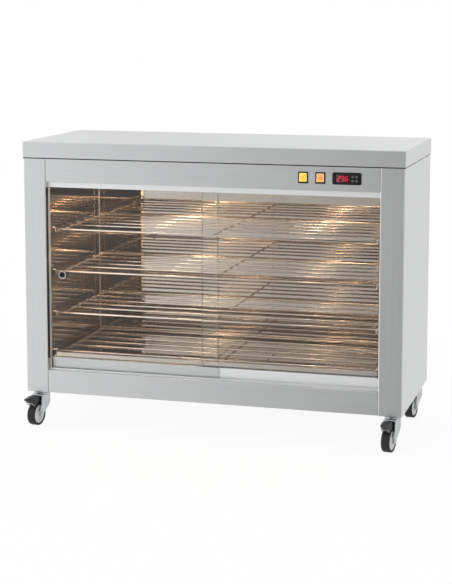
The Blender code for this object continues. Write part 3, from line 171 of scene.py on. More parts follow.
def slab(outline, thickness):
    """Draw a closed outline and extrude it to a solid."""
    piece = draw(outline, filled=True)
    bpy.ops.mesh.select_all(action="SELECT")
    extrude(thickness)
    return close_up(piece)


def side_slab(spot, side, width):
    """A solid of one width, from a side outline of (depth, height) points, all in mm."""
    return slab([offset(spot, -width / 2, y, z) for y, z in side], (width * MM, 0, 0))


def turned(profile, sides, place, axis="Z", ring=False):
    """Spin a profile of (radius, height) points in mm round an axis; a ring has a bore."""
    points = [(radius * MM, 0, height * MM) for radius, height in profile]
    if ring:
        points.append(points[0])
    piece = draw(points)
    bpy.ops.mesh.select_all(action="SELECT")
    bpy.ops.mesh.spin(steps=sides, angle=2 * pi, center=(0, 0, 0), axis=(0, 0, 1))
    close_up(piece)
    piece.rotation_euler = {"X": (0, pi / 2, 0), "Y": (-pi / 2, 0, 0), "Z": (0, 0, 0)}[axis]
    piece.location = place
    settle()
    return piece


def straight_wire(start, end, radius, sides=16):
    """A cut rod between two points, with its sharp ends taken off."""
    start, end = Vector(start), Vector(end)
    run = end - start
    put_down()
    bpy.ops.mesh.primitive_cylinder_add(
        vertices=sides, radius=radius, depth=run.length, location=(start + end) / 2,
        rotation=run.to_track_quat("Z", "Y").to_euler(),
    )
    wire = bpy.context.object
    choose("FACE", lambda face: len(face.verts) > 4)
    bpy.ops.mesh.bevel(offset=radius * ROD_CHAMFER, segments=2, affect="EDGES")
    pick_up(wire)
    settle()
    return wire


def bent_wire(path, radius, bend, sides=16, steps=6):
    """A rod along a path: a circle is extruded along each run and spun round each bend."""
    points = [Vector(point) for point in path]
    heading = (points[1] - points[0]).normalized()
    put_down()
    bpy.ops.mesh.primitive_circle_add(
        vertices=sides, radius=radius, fill_type="NGON", location=points[0],
        rotation=heading.to_track_quat("Z", "Y").to_euler(),
    )
    wire = bpy.context.object
    settle()
    edit_all()
    here = points[0]
    for corner, after in zip(points[1:], points[2:]):
        leaving = (after - corner).normalized()
        turn = heading.angle(leaving)
        reach = bend * tan(turn / 2)
        extrude(corner - heading * reach - here)
        axis = heading.cross(leaving).normalized()
        centre = corner - heading * reach + axis.cross(heading) * bend
        bpy.ops.mesh.spin(steps=steps, angle=-turn, center=centre, axis=axis)
        here = corner + leaving * reach
        heading = leaving
    extrude(points[-1] - here)
    return close_up(wire)


def box(low, high):
    """A block between two corners, which the caller shapes further."""
    low, high = Vector(low), Vector(high)
    put_down()
    bpy.ops.mesh.primitive_cube_add(size=1, location=(low + high) / 2, scale=high - low)
    settle()
    return bpy.context.object


def apply_modifier(piece, kind, **settings):
    """Add a modifier with its settings and apply it."""
    pick_up(piece)
    modifier = piece.modifiers.new(kind.lower(), kind)
    for setting, value in settings.items():
        setattr(modifier, setting, value)
    bpy.ops.object.modifier_apply(modifier=modifier.name)


def soften(piece, width, segments=2, limit=50):
    """Round every edge that is sharper than a limit in degrees."""
    apply_modifier(
        piece, "BEVEL", width=width, segments=segments, limit_method="ANGLE",
        angle_limit=radians(limit), use_clamp_overlap=True,
    )


def combine(piece, other, operation):
    """Cut a piece with another, or weld the other to it, and remove the other."""
    apply_modifier(piece, "BOOLEAN", object=other, operation=operation, solver="EXACT")
    bpy.data.objects.remove(other, do_unlink=True)
    return piece


def joined(pieces):
    """Join pieces to one mesh."""
    put_down()
    for piece in pieces:
        piece.select_set(True)
    bpy.context.view_layer.objects.active = pieces[0]
    bpy.ops.object.join()
    return pieces[0]


def copied(piece, shift=(0, 0, 0)):
    """Copy a piece with its own mesh and move the copy."""
    pick_up(piece)
    bpy.ops.object.duplicate(linked=False)
    copy = bpy.context.object
    bpy.ops.transform.translate(value=shift)
    settle()
    return copy


def mirrored(piece):
    """Copy a piece to the cabinet's other side."""
    copy = copied(piece)
    copy.scale = (-1, 1, 1)
    settle()
    return close_up(copy)


def seat(piece, name, body, kind, node=None, smooth=38):
    """Name a finished piece, give it its kind of finish, fix it to its body and let it stand for
    its CAD node, if it has one. Edges under smooth degrees look round."""
    pick_up(piece)
    settle()
    bpy.ops.object.shade_smooth_by_angle(angle=radians(smooth))
    piece.name = name
    piece.data.name = name
    piece.data.materials.clear()
    piece.data.materials.append(finish(kind))
    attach(piece, body)
    if node:
        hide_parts(node)
    put_down()


def middle_of(node):
    """The middle of a CAD node's box."""
    low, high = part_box(node)
    return (low + high) / 2


# Materials

def linear(colour):
    """Turn an sRGB hex colour to the linear values that a shader takes."""
    channels = []
    for start in (1, 3, 5):
        value = int(colour[start:start + 2], 16) / 255
        channels.append(value / 12.92 if value <= 0.04045 else ((value + 0.055) / 1.055) ** 2.4)
    return (*channels, 1.0)


def add_node(tree, kind, inputs=None, **options):
    """Add a node, set its options and sockets, and link the outputs that it is given."""
    node = tree.nodes.new(kind)
    for option, value in options.items():
        setattr(node, option, value)
    for socket, value in (inputs or {}).items():
        if isinstance(value, bpy.types.NodeSocket):
            tree.links.new(value, node.inputs[socket])
        else:
            node.inputs[socket].default_value = value
    return node


def new_material(name, **constants):
    """A material with one Principled shader and its constant sockets."""
    material = bpy.data.materials.new(name)
    material.use_nodes = True
    tree = material.node_tree
    shader = tree.nodes["Principled BSDF"]
    for socket, value in constants.items():
        shader.inputs[socket.replace("_", " ")].default_value = value
    return material, tree, shader


def pattern(tree, patch, detail=2.0):
    """Noise whose patches measure so many mm along X, Y and Z."""
    place = add_node(tree, "ShaderNodeTexCoord")
    sockets = {"Vector": place.outputs["Object"], "Scale": [1 / (size * MM) for size in patch]}
    stretched = add_node(tree, "ShaderNodeMapping", sockets)
    sockets = {"Vector": stretched.outputs[0], "Scale": 1.0, "Detail": detail, "Roughness": 0.55}
    return add_node(tree, "ShaderNodeTexNoise", sockets).outputs["Fac"]


def varied(name, patch, shades, roughness=None, height=0, detail=2.0, haze=None, **constants):
    """A material whose colour, roughness and relief follow one pattern of patches in mm. Height
    is the relief's, in mm; the roughness has patches of its own where haze gives them."""
    material, tree, shader = new_material(name, **constants)
    noise = pattern(tree, patch, detail)
    share = add_node(tree, "ShaderNodeMapRange", {"Value": noise, **NOISE_RANGE})
    dark, light = [linear(shade) for shade in shades]
    sockets = {"Factor": share.outputs["Result"], "A": dark, "B": light}
    colour = add_node(tree, "ShaderNodeMix", sockets, data_type="RGBA")
    tree.links.new(colour.outputs["Result"], shader.inputs["Base Color"])
    if roughness:
        low, high = roughness
        source = pattern(tree, haze) if haze else noise
        sockets = {"Value": source, "To Min": low, "To Max": high, **NOISE_RANGE}
        rough = add_node(tree, "ShaderNodeMapRange", sockets)
        tree.links.new(rough.outputs["Result"], shader.inputs["Roughness"])
    if height:
        sockets = {"Height": noise, "Distance": height * MM, "Strength": 1.0}
        relief = add_node(tree, "ShaderNodeBump", sockets)
        tree.links.new(relief.outputs["Normal"], shader.inputs["Normal"])
    return material


def brushed_stainless(name, grain):
    """Stainless sheet, belt-brushed: soft reflections with faint streaks along the grain.
    The real streaks are 0.1 mm wide; here they are drawn 3 mm wide so that they show."""
    shades = ("#D1D2D3", "#D6D7D8")
    return varied(name, grain, shades, (0.29, 0.33), height=0.003, detail=3.0, Metallic=1.0)


def mirror_stainless(name, waves):
    """Stainless sheet with a bright annealed finish: clear reflections on slow waves. Its warm tint is
    partly the steel's own and partly a painted warm cast of the lamps' light.
    """
    # Warm shades: the steel's own tint with painted warm lamp light
    return varied(
        name, waves, ("#CBBFB4", "#D3C9BF"), (0.01, 0.03), height=0.03, detail=1.0,
        haze=(60, 60, 60), Metallic=1.0,
    )


def satin_aluminium():
    """Extruded aluminium, satin anodised: pale and soft, with die lines along its length."""
    shades = ("#F1F2F3", "#F9FAFA")
    return varied("satin_anodised_aluminium", (400, 1.5, 1.5), shades, (0.42, 0.52), Metallic=1.0)


def float_glass():
    """Clear float glass with polished edges: green where one looks along the pane."""
    material = varied(
        "clear_float_glass", (180, 180, 240), ("#FDFEFE", "#FFFFFF"), Transmission_Weight=1.0,
        Roughness=0.0, IOR=GLASS_IOR,
    )
    tree = material.node_tree
    sockets = {"Color": linear("#A9D9C4"), "Density": 6.0}
    body = add_node(tree, "ShaderNodeVolumeAbsorption", sockets)
    tree.links.new(body.outputs["Volume"], tree.nodes["Material Output"].inputs["Volume"])
    return material


def drawn_wire():
    """Nickel-plated drawn steel wire: warm silver with fine draw marks along it."""
    shades = ("#D8CCC2", "#E6DCD3")
    return varied("nickel_plated_wire", (30, 2, 2), shades, (0.14, 0.19), Metallic=1.0)


def zinc_plate():
    """Pressed steel, bright zinc plated: bluish grey with a faint mottle."""
    return varied(
        "zinc_plated_steel", (6, 6, 6), ("#BDC0C2", "#D3D5D6"), (0.28, 0.42), height=0.03,
        detail=4.0, Metallic=1.0,
    )


def dark_plate():
    """Pressed steel, black passivated: dark grey with a low metallic sheen."""
    return varied(
        "black_passivated_steel", (5, 5, 5), ("#2A2B2D", "#4A4B4E"), (0.34, 0.5), height=0.04,
        detail=4.0, Metallic=0.75,
    )


def ground_edge():
    """Glass ground along its edge: matt, and dark green from the whole width behind it."""
    return varied(
        "ground_glass_edge", (0.8, 0.8, 0.8), ("#33443D", "#46584F"), (0.5, 0.6), height=0.02,
        detail=3.0, IOR=1.5, Specular_IOR_Level=0.3,
    )


def pale_edge_highlight():
    """Pale satin channel on a pane's edge: a painted highlight of the glass edge lit by the chamber,
    with a fine grain that is drawn coarse.
    """
    return varied(
        "pale_edge_highlight_strip", (0.8, 0.8, 0.8), ("#DAD2CA", "#E6DFD8"), (0.35, 0.45),
        height=0.02, detail=3.0, IOR=1.5, Specular_IOR_Level=0.3,
    )


def moulded_plastic(name, dark, light, roughness, grit=0.8):
    """Moulded plastic or rubber with a spark-eroded grain: matt, with a soft grainy highlight.
    The real grain is about 0.1 mm wide; here it is drawn coarse enough to catch light."""
    spread = (roughness - 0.05, roughness + 0.05)
    return varied(
        name, (grit, grit, grit), (dark, light), spread, height=0.02, detail=3.0, IOR=1.5,
        Specular_IOR_Level=0.3,
    )


def rubber_and_painted_shadow():
    """Solid black rubber: matt, dusty grey where it has rolled. The same black also draws the cap's
    bead and the door strips, which are painted shadow.
    """
    return varied(
        "black_rubber_and_painted_shadow", (7, 7, 7), ("#0E0E0F", "#1F1F20"), (0.6, 0.8), height=0.05,
        detail=5.0, IOR=1.52,
    )


def lit_lens(name, centre, edge):
    """Clear coloured polycarbonate over a small lamp, brightest in the middle in an uneven mottle: a
    painted pool of the lamp's light and painted mottled highlights, in both its colour and its glow.
    """
    low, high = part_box(name + "_switch_housing")
    middle = ((low.x + high.x) / 2, low.y, (low.z + high.z) / 2)
    reach = 11 * MM
    painted_mottle_size = (2.4, 2.4, 2.4)
    material, tree, shader = new_material(
        name + "_lens_polycarbonate", Roughness=0.22, IOR=1.58, Emission_Strength=colours().lens_glow
    )
    place = add_node(tree, "ShaderNodeTexCoord")
    sockets = {"Vector": place.outputs["Object"], "Scale": [1 / reach] * 3}
    sockets["Location"] = [-value / reach for value in middle]
    moved = add_node(tree, "ShaderNodeMapping", sockets)
    sockets = {"Vector": moved.outputs[0]}
    # Painted pool of the lamp's light: colour and glow change with the distance from the lens's
    # middle.
    ball = add_node(tree, "ShaderNodeTexGradient", sockets, gradient_type="SPHERICAL")
    # Painted mottled highlights spread over that pool.
    sockets = {"Value": pattern(tree, painted_mottle_size), "To Min": 0.7, "To Max": 1.3, **NOISE_RANGE}
    painted_mottle = add_node(tree, "ShaderNodeMapRange", sockets)
    sockets = {0: ball.outputs["Fac"], 1: painted_mottle.outputs["Result"]}
    light = add_node(tree, "ShaderNodeMath", sockets, operation="MULTIPLY")
    sockets = {"Factor": light.outputs[0], "A": linear(edge), "B": linear(centre)}
    colour = add_node(tree, "ShaderNodeMix", sockets, data_type="RGBA")
    for socket in ("Base Color", "Emission Color"):
        tree.links.new(colour.outputs["Result"], shader.inputs[socket])
    return material


def display_window():
    """Dark red tinted acrylic with a polished face: deep red, with clear highlights."""
    shades = ("#2E040C", "#4C0815")
    coat = {"Roughness": 0.06, "IOR": 1.49, "Coat_Weight": 0.3}
    return varied("dark_red_acrylic", (14, 14, 14), shades, **coat)


def display_digit(name, colour, glow):
    """Diffusing light segment of a display: an even colour and glow, and an uneven gloss."""
    return varied(
        name, (3, 3, 3), (colour, colour), (0.38, 0.42), IOR=1.49,
        Emission_Color=linear(colour), Emission_Strength=glow,
    )


def glazed_porcelain():
    """White porcelain under a thin glaze: warm white with a clear coat."""
    shades = ("#E2DED4", "#EFECE4")
    coat = {"Roughness": 0.3, "IOR": 1.52, "Coat_Weight": 0.6}
    return varied("glazed_porcelain", (9, 9, 9), shades, **coat)


def stove_enamel():
    """Steel sheet with baked white enamel: even and pale, with a slight orange peel."""
    shades = ("#EDE9E2", "#F6F3EE")
    return varied("white_stove_enamel", (5, 5, 5), shades, height=0.02, Roughness=0.35, IOR=1.5)


def lamp_bulb():
    """Opal glass bulb, lit: a warm white glow."""
    return varied(
        "lit_opal_bulb", (20, 20, 20), ("#F4E2C4", "#FBEED8"), Roughness=0.2, IOR=1.5,
        Emission_Color=(*colours().lamp, 1.0), Emission_Strength=colours().lamp_strength,
    )


def heater_sheath():
    """Stainless heater tube, oxidised: dull brown-grey, mottled by its heat."""
    return varied(
        "oxidised_heater_sheath", (45, 12, 12), ("#5A4A42", "#7D7168"), (0.4, 0.6), detail=4.0,
        Metallic=1.0,
    )


# Each kind of finish, with the function that makes it and what that function takes
FINISHES = {
    "sheet_along": (brushed_stainless, "brushed_stainless_along", (220, 3, 3)),
    "sheet_upright": (brushed_stainless, "brushed_stainless_upright", (3, 3, 220)),
    "wall_mirror": (mirror_stainless, "mirror_stainless_walls", (420, 300, 120)),
    "floor_mirror": (mirror_stainless, "mirror_stainless_floor", (200, 120, 120)),
    "enamel": (stove_enamel,),
    "ground_edge": (ground_edge,),
    "pale_highlight_strip": (pale_edge_highlight,),
    "aluminium": (satin_aluminium,),
    "glass": (float_glass,),
    "wire": (drawn_wire,),
    "zinc": (zinc_plate,),
    "dark_steel": (dark_plate,),
    "black_plastic": (moulded_plastic, "black_moulded_abs", "#0A0A0B", "#131314", 0.42),
    "key_plastic": (moulded_plastic, "grey_key_rubber", "#56575A", "#66686B", 0.5),
    "hub_plastic": (moulded_plastic, "grey_hub_polypropylene", "#D2D4D5", "#E2E4E5", 0.42, 2.0),
    # Black rubber for the tyres, and painted shadow for the cap's bead and the door strips
    "rubber": (rubber_and_painted_shadow,),
    "window": (display_window,),
    "digit": (display_digit, "lit_red_segment", "#E62A48", 0.74),
    "dark_digit": (display_digit, "unlit_red_segment", "#3B0A10", 0.0),
    "heating_lens": (lit_lens, "heating", "#EFA31C", "#F9D66E"),
    "light_lens": (lit_lens, "light", "#E5803A", "#F5B278"),
    "bulb": (lamp_bulb,),
    "porcelain": (glazed_porcelain,),
    "heater": (heater_sheath,),
}
made = {}


def finish(kind):
    """The cabinet's finish of one kind, made the first time that it is asked for."""
    if kind not in made:
        maker, *details = FINISHES[kind]
        made[kind] = maker(*details)
    return made[kind]


# Settings

class CabinetSizes(bpy.types.PropertyGroup):
    """Sizes that the CAD model doesn't give."""

    frame_wire: FloatProperty(
        name="Frame wire radius", description="Radius of a shelf's front and back rod",
        default=3.0 * MM, min=0.0, unit="LENGTH",
    )
    deck_wire: FloatProperty(
        name="Deck wire radius", description="Radius of a shelf's deck and cross rods",
        default=2.5 * MM, min=0.0, unit="LENGTH",
    )
    deck_pitch: FloatProperty(
        name="Deck wire pitch", description="Distance from deck rod to deck rod",
        default=60.0 * MM, min=0.0, unit="LENGTH",
    )
    wire_bend: FloatProperty(
        name="Wire bend radius", description="Radius at the middle of a bent rod",
        default=4.0 * MM, min=0.0, unit="LENGTH",
    )
    glass_arris: FloatProperty(
        name="Glass arris", description="Width taken off each edge of a glass pane",
        default=0.6 * MM, min=0.0, unit="LENGTH",
    )
    plastic_edge: FloatProperty(
        name="Plastic edge radius", description="Rounding of the switches' edges",
        default=0.5 * MM, min=0.0, unit="LENGTH",
    )
    screw_head: FloatProperty(
        name="Screw head radius", description="Radius of the rear panel's screw heads",
        default=3.6 * MM, min=0.0, unit="LENGTH",
    )
    round_sides: IntProperty(
        name="Round sides", description="Number of sides of the larger turned parts",
        default=48, min=8, max=128,
    )


class CabinetColours(bpy.types.PropertyGroup):
    """Colours and strengths of the cabinet's lights, and the floor's colour."""

    lamp: FloatVectorProperty(
        name="Lamp colour", description="Colour of the two lamps' light",
        subtype="COLOR", size=3, min=0.0, max=1.0, default=linear("#FFE8C8")[:3],
    )
    lamp_strength: FloatProperty(
        name="Lamp strength", description="Emission strength of each bulb",
        default=1700.0, min=0.0,
    )
    lens_glow: FloatProperty(
        name="Lens glow", description="Emission strength of the two lit rockers",
        default=0.4, min=0.0,
    )
    floor: FloatVectorProperty(
        name="Floor colour", description="Colour of the studio floor",
        subtype="COLOR", size=3, min=0.0, max=1.0, default=linear("#F6F6F6")[:3],
    )


def sizes():
    """The sizes that the user can change."""
    return bpy.context.scene.cabinet_sizes


def colours():
    """The colours that the user can change."""
    return bpy.context.scene.cabinet_colours


# Operators

class CABINET_OT_sheet_finishes(bpy.types.Operator):
    """Finish the folded sheets and extrusions that keep their CAD shape"""

    bl_idname = "cabinet.sheet_finishes"
    bl_label = "Sheet Finishes"

    NODES = {
        "sheet_along": ("top_cap", "rear_panel", "control_fascia", "bottom_rail"),
        "sheet_upright": ("left_side_panel", "right_side_panel"),
        "zinc": ("base_pan", "left_element_bracket", "right_element_bracket"),
        "aluminium": ("top_track", "sill_track"),
        "wall_mirror": ("inner_left_wall", "inner_right_wall", "inner_back_wall", "inner_ceiling"),
        "floor_mirror": ("inner_floor",),
        "heater": ("heating_element",),
    }

    def execute(self, context):
        for kind, nodes in self.NODES.items():
            for node in nodes:
                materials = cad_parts[node].data.materials
                if not materials:
                    materials.append(finish(kind))
                for slot in range(len(materials)):
                    materials[slot] = finish(kind)
        return {"FINISHED"}


def at_each_level(piece):
    """The piece at the first shelf, and its copies at the heights of the other three."""
    lows = [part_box("wire_shelf_%d" % number)[0].z for number in (1, 2, 3, 4)]
    return [piece] + [copied(piece, (0, 0, low - lows[0])) for low in lows[1:]]


class CABINET_OT_wire_shelves(bpy.types.Operator):
    """Weld one wire shelf from frame, deck and cross rods, and copy it to the others"""

    bl_idname = "cabinet.wire_shelves"
    bl_label = "Wire Shelves"

    # The CAD's rods have few sides, and rest on a flat one
    CAD_SIDES = 8
    WELD = 1.0 * MM
    SIDE_INSET = 19.0 * MM
    DECK_END = 4.0 * MM
    # Frame wire radii that stay free between the last deck rod and the back rod
    BACK_FREE = 5

    def execute(self, context):
        thick, thin, pitch = sizes().frame_wire, sizes().deck_wire, sizes().deck_pitch
        low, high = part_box("wire_shelf_1")
        front, back = low.y + thick, high.y - thick
        level = low.z + thick * cos(pi / self.CAD_SIDES)
        deck = level + thick + thin - self.WELD
        side = high.x - self.SIDE_INSET
        end = side + self.DECK_END
        rods = [straight_wire((low.x, front, level), (high.x, front, level), thick)]
        rods.append(copied(rods[0], (0, back - front, 0)))
        place = front + pitch
        rods.append(straight_wire((-end, place, deck), (end, place, deck), thin))
        while place + pitch < back - thick * self.BACK_FREE:
            place += pitch
            rods.append(copied(rods[-1], (0, pitch, 0)))
        cross = straight_wire((-side, front, level), (-side, back, level), thin)
        crossing = joined([cross, copied(cross, (side, 0, 0)), copied(cross, (2 * side, 0, 0))])
        shelf = combine(joined(rods), crossing, "UNION")
        for number, piece in enumerate(at_each_level(shelf), start=1):
            seat(piece, "shelf_%d_wires" % number, "cabinet", "wire", "wire_shelf_%d" % number)
        return {"FINISHED"}


class CABINET_OT_shelf_racks(bpy.types.Operator):
    """Bend the upright and hooked ledges that carry the shelves, and mirror them"""

    bl_idname = "cabinet.shelf_racks"
    bl_label = "Shelf Racks"

    UPRIGHT_FROM_END = 7.0 * MM
    UPRIGHT_FROM_WALL = 6.7 * MM
    LEDGE_OFFSET = 5.0 * MM
    LEDGE_REACH = 15.0 * MM
    HOOK = 12.0 * MM
    GAP = 0.3 * MM

    def execute(self, context):
        thick, thin, bend = sizes().frame_wire, sizes().deck_wire, sizes().wire_bend
        low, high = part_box("left_shelf_rack")
        shelf_low, shelf_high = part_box("wire_shelf_1")
        wall = low.x
        upright = wall + self.UPRIGHT_FROM_WALL
        ledge = upright + self.LEDGE_OFFSET
        top = high.z - thick
        back = shelf_high.y - thick
        y = back - self.UPRIGHT_FROM_END
        stay = bent_wire([(upright, y, low.z), (upright, y, top), (wall, y, top)], thick, bend)
        hook = shelf_low.y + thick - self.LEDGE_REACH
        level = shelf_low.z - thin - self.GAP
        path = [
            (wall, hook, level + self.HOOK), (ledge, hook, level + self.HOOK),
            (ledge, hook, level), (ledge, back + thick, level),
        ]
        ledges = at_each_level(bent_wire(path, thin, bend))
        rack = combine(stay, joined(ledges), "UNION")
        other = mirrored(rack)
        seat(rack, "left_rack_wires", "cabinet", "wire", "left_shelf_rack")
        seat(other, "right_rack_wires", "cabinet", "wire", "right_shelf_rack")
        return {"FINISHED"}


class CABINET_OT_shadow_strips(bpy.types.Operator):
    """Lay a black bead under the cap's edge and black strips beside the doors: painted shadow of the
    cap's overhang and painted shade in the gaps beside the panes
    """

    bl_idname = "cabinet.seals"
    bl_label = "Shadow Strips"

    GAP = 0.1 * MM
    CUT_PAST = 1.0 * MM
    BEAD_HEIGHT = 3.0 * MM
    BEAD_PROUD = 0.4 * MM
    BEAD_EDGE = 0.15 * MM
    STRIP_WALL = 0.5 * MM
    STRIP_FRONT = 1.2 * MM
    STRIP_END = 0.5 * MM
    STRIP_EDGE = 0.2 * MM
    DOOR_CLEARANCE = 1.0 * MM

    def execute(self, context):
        left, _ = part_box("left_side_panel")
        _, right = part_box("right_side_panel")
        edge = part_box("top_cap")[0].z
        bottom = Vector((left.x, left.y, edge - self.BEAD_HEIGHT))
        top = Vector((right.x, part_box("rear_panel")[1].y, edge))
        proud = Vector((self.BEAD_PROUD, self.BEAD_PROUD, 0))
        inside = Vector((self.GAP, self.GAP, -self.CUT_PAST))
        bead = box(bottom - proud, top + proud)
        combine(bead, box(bottom + inside, top - inside), "DIFFERENCE")
        soften(bead, self.BEAD_EDGE)
        # Painted shadow: the black bead draws the dark line that the cap's overhang casts.
        seat(bead, "cap_shadow_bead", "cabinet", "rubber")
        track_low, track_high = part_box("top_track")
        front = left.y + self.STRIP_FRONT
        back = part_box("left_glass_door")[0].y - self.DOOR_CLEARANCE
        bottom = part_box("sill_track")[1].z + self.STRIP_END
        top = track_low.z - self.STRIP_END
        for side, sign in (("left", -1), ("right", 1)):
            outer = sign * (track_high.x + self.GAP)
            inner = outer - sign * self.STRIP_WALL
            strip = box((min(outer, inner), front, bottom), (max(outer, inner), back, top))
            soften(strip, self.STRIP_EDGE)
            # Painted shade: black strips fill the gaps between the posts and the panes with dark.
            seat(strip, side + "_door_shadow_strip", "cabinet", "rubber")
        return {"FINISHED"}


class CABINET_OT_glass_doors(bpy.types.Operator):
    """Cut the two sliding panes, drill the front one and polish their edges"""

    bl_idname = "cabinet.glass_doors"
    bl_label = "Glass Doors"

    HOLE = 9.3 * MM
    DRILL_PAST = 10.0 * MM
    EDGE_AREA = 1000.0 * MM * MM
    STRIP_WALL = 0.6 * MM
    STRIP_WEB = 0.35 * MM
    STRIP_REACH = 3.6 * MM
    STRIP_EDGE = 0.15 * MM

    def execute(self, context):
        for side in ("left", "right"):
            node = side + "_glass_door"
            low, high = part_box(node)
            pane = box(low, high)
            if side == "left":
                x, _, z = middle_of("door_finger_pull")
                front, back = low.y - self.DRILL_PAST, high.y + self.DRILL_PAST
                sides = sizes().round_sides
                drill = straight_wire((x, front, z), (x, back, z), self.HOLE, sides)
                combine(pane, drill, "DIFFERENCE")
            soften(pane, sizes().glass_arris, limit=60)
            seat(pane, side + "_pane", side + "_door", "glass", node, smooth=5)
            pane.data.materials.append(finish("ground_edge"))
            for face in pane.data.polygons:
                upright_end = abs(face.normal.x) > 0.9 and abs(face.normal.z) < 0.1
                if upright_end and face.area > self.EDGE_AREA:
                    face.material_index = 1
            self.edge_strip(side, low, high)
        return {"FINISHED"}

    def edge_strip(self, side, low, high):
        """Pale channel over the pane's outer edge: a painted highlight of the glass edge lit by the
        chamber.
        """
        sign, edge = (-1, low.x) if side == "left" else (1, high.x)
        web = edge + sign * self.STRIP_WEB
        lip = edge - sign * self.STRIP_REACH
        front, back = low.y - self.STRIP_WALL, high.y + self.STRIP_WALL
        outline = [
            (web, front), (lip, front), (lip, low.y), (edge, low.y),
            (edge, high.y), (lip, high.y), (lip, back), (web, back),
        ]
        strip = slab([(x, y, low.z) for x, y in outline], (0, 0, high.z - low.z))
        soften(strip, self.STRIP_EDGE)
        door = side + "_door"
        seat(strip, side + "_pane_edge_strip", door, "pale_highlight_strip")


class CABINET_OT_finger_pull(bpy.types.Operator):
    """Turn the finger pull: a bright ring round a black cup, and its rear collar"""

    bl_idname = "cabinet.finger_pull"
    bl_label = "Finger Pull"

    RING = (
        (8.3, 2.6), (8.3, 0.9), (8.7, 0.35), (9.4, 0.0), (10.3, 0.1), (10.9, 0.5), (11.0, 1.0),
        (9.0, 1.0), (9.0, 2.6),
    )
    CUP = (
        (0.0, 3.0), (6.6, 3.0), (7.5, 2.6), (8.0, 1.6), (8.0, 0.8), (8.25, 0.7), (8.25, 2.7),
        (9.0, 2.7),
    )

    def execute(self, context):
        low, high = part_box("door_finger_pull")
        place = ((low.x + high.x) / 2, low.y, (low.z + high.z) / 2)
        end = (high.y - low.y) / MM
        collar = ((9.0, end - 1.0), (11.0, end - 1.0), (11.0, end - 0.5), (10.4, end), (0.0, end))
        ring = turned(self.RING, sizes().round_sides, place, "Y", ring=True)
        cup = turned(self.CUP + collar, sizes().round_sides, place, "Y")
        seat(ring, "pull_ring", "left_door", "zinc", "door_finger_pull")
        seat(cup, "pull_cup", "left_door", "black_plastic", "door_finger_pull")
        return {"FINISHED"}


def rounded_outline(low, high, y, corner, steps=4):
    """Points of a rectangle with round corners, standing in a plane of constant Y."""
    right, top = high[0] - corner, high[1] - corner
    left, bottom = low[0] + corner, low[1] + corner
    points = []
    for quarter, (x, z) in enumerate(((right, top), (left, top), (left, bottom), (right, bottom))):
        for step in range(steps + 1):
            angle = (quarter + step / steps) * pi / 2
            points.append((x + corner * cos(angle), y, z + corner * sin(angle)))
    return points


class CABINET_OT_rocker_switches(bpy.types.Operator):
    """Mould the two switch housings and their lit rockers"""

    bl_idname = "cabinet.rocker_switches"
    bl_label = "Rocker Switches"

    BEZEL = 2.5 * MM
    RIM = 2.6 * MM
    BODY_STEP = 1.8 * MM
    CAVITY = 16.0 * MM
    CORNER = 1.2 * MM
    PIVOT_DEPTH = 4.5 * MM
    FACE_DEPTH = 0.5 * MM
    FACE_STEPS = 6
    # The face rises with this power of the distance from the pivot
    DISH = 1.5
    # Half the back's height and its depth, as a share of half the face's height
    BACK = 0.55
    END_PLAY = 1.2 * MM
    SIDE_PLAY = 0.3 * MM
    TILT = radians(8.0)
    EDGE_LIMIT = 40

    def execute(self, context):
        edge = sizes().plastic_edge
        for name in ("heating", "light"):
            node = name + "_switch_housing"
            low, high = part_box(node)
            shell = self.housing(low, high)
            soften(shell, edge, limit=self.EDGE_LIMIT)
            seat(shell, name + "_switch_shell", "cabinet", "black_plastic", node)
            width = (high.x - low.x) / 2 - self.RIM - self.SIDE_PLAY
            reach = (high.z - low.z) / 2 - self.RIM - self.END_PLAY
            pivot = Vector((middle_of(name + "_switch_rocker").x, low.y, (low.z + high.z) / 2))
            pivot.y += self.PIVOT_DEPTH
            lens = self.rocker(pivot, width, reach)
            soften(lens, edge, limit=self.EDGE_LIMIT)
            rides_on = name + "_rocker"
            seat(lens, name + "_lens", rides_on, name + "_lens", name + "_switch_rocker")
        return {"FINISHED"}

    def housing(self, low, high):
        """Bezel with a rim and a deep cavity in front, and the body behind it."""
        outline = rounded_outline((low.x, low.z), (high.x, high.z), low.y, self.CORNER)
        piece = slab(outline, (0, self.BEZEL, 0))
        choose("FACE", looks_ahead)
        bpy.ops.mesh.inset(thickness=self.RIM, use_even_offset=True)
        extrude((0, self.CAVITY, 0))
        before = low.y + 2 * self.BEZEL
        choose("FACE", lambda face: face.normal.y > 0.99 and len(face.verts) > 4
               and face.calc_center_median().y < before)
        bpy.ops.mesh.inset(thickness=self.BODY_STEP, use_even_offset=True)
        extrude((0, high.y - low.y - self.BEZEL, 0))
        return piece

    def rocker(self, pivot, width, reach):
        """Rocker with a shallow dished face, resting with its upper half pressed in."""
        rise = reach * tan(self.TILT)
        face = -self.PIVOT_DEPTH + self.FACE_DEPTH
        profile = []
        for step in range(-self.FACE_STEPS, self.FACE_STEPS + 1):
            share = step / self.FACE_STEPS
            profile.append((face - rise * abs(share) ** self.DISH, reach * share))
        back = self.BACK * reach
        profile += [(back / 2, back), (back, 0), (back / 2, -back)]
        outline = []
        for y, z in profile:
            turned_y = y * cos(self.TILT) + z * sin(self.TILT)
            turned_z = z * cos(self.TILT) - y * sin(self.TILT)
            outline.append((pivot.x - width, pivot.y + turned_y, pivot.z + turned_z))
        return slab(outline, (2 * width, 0, 0))


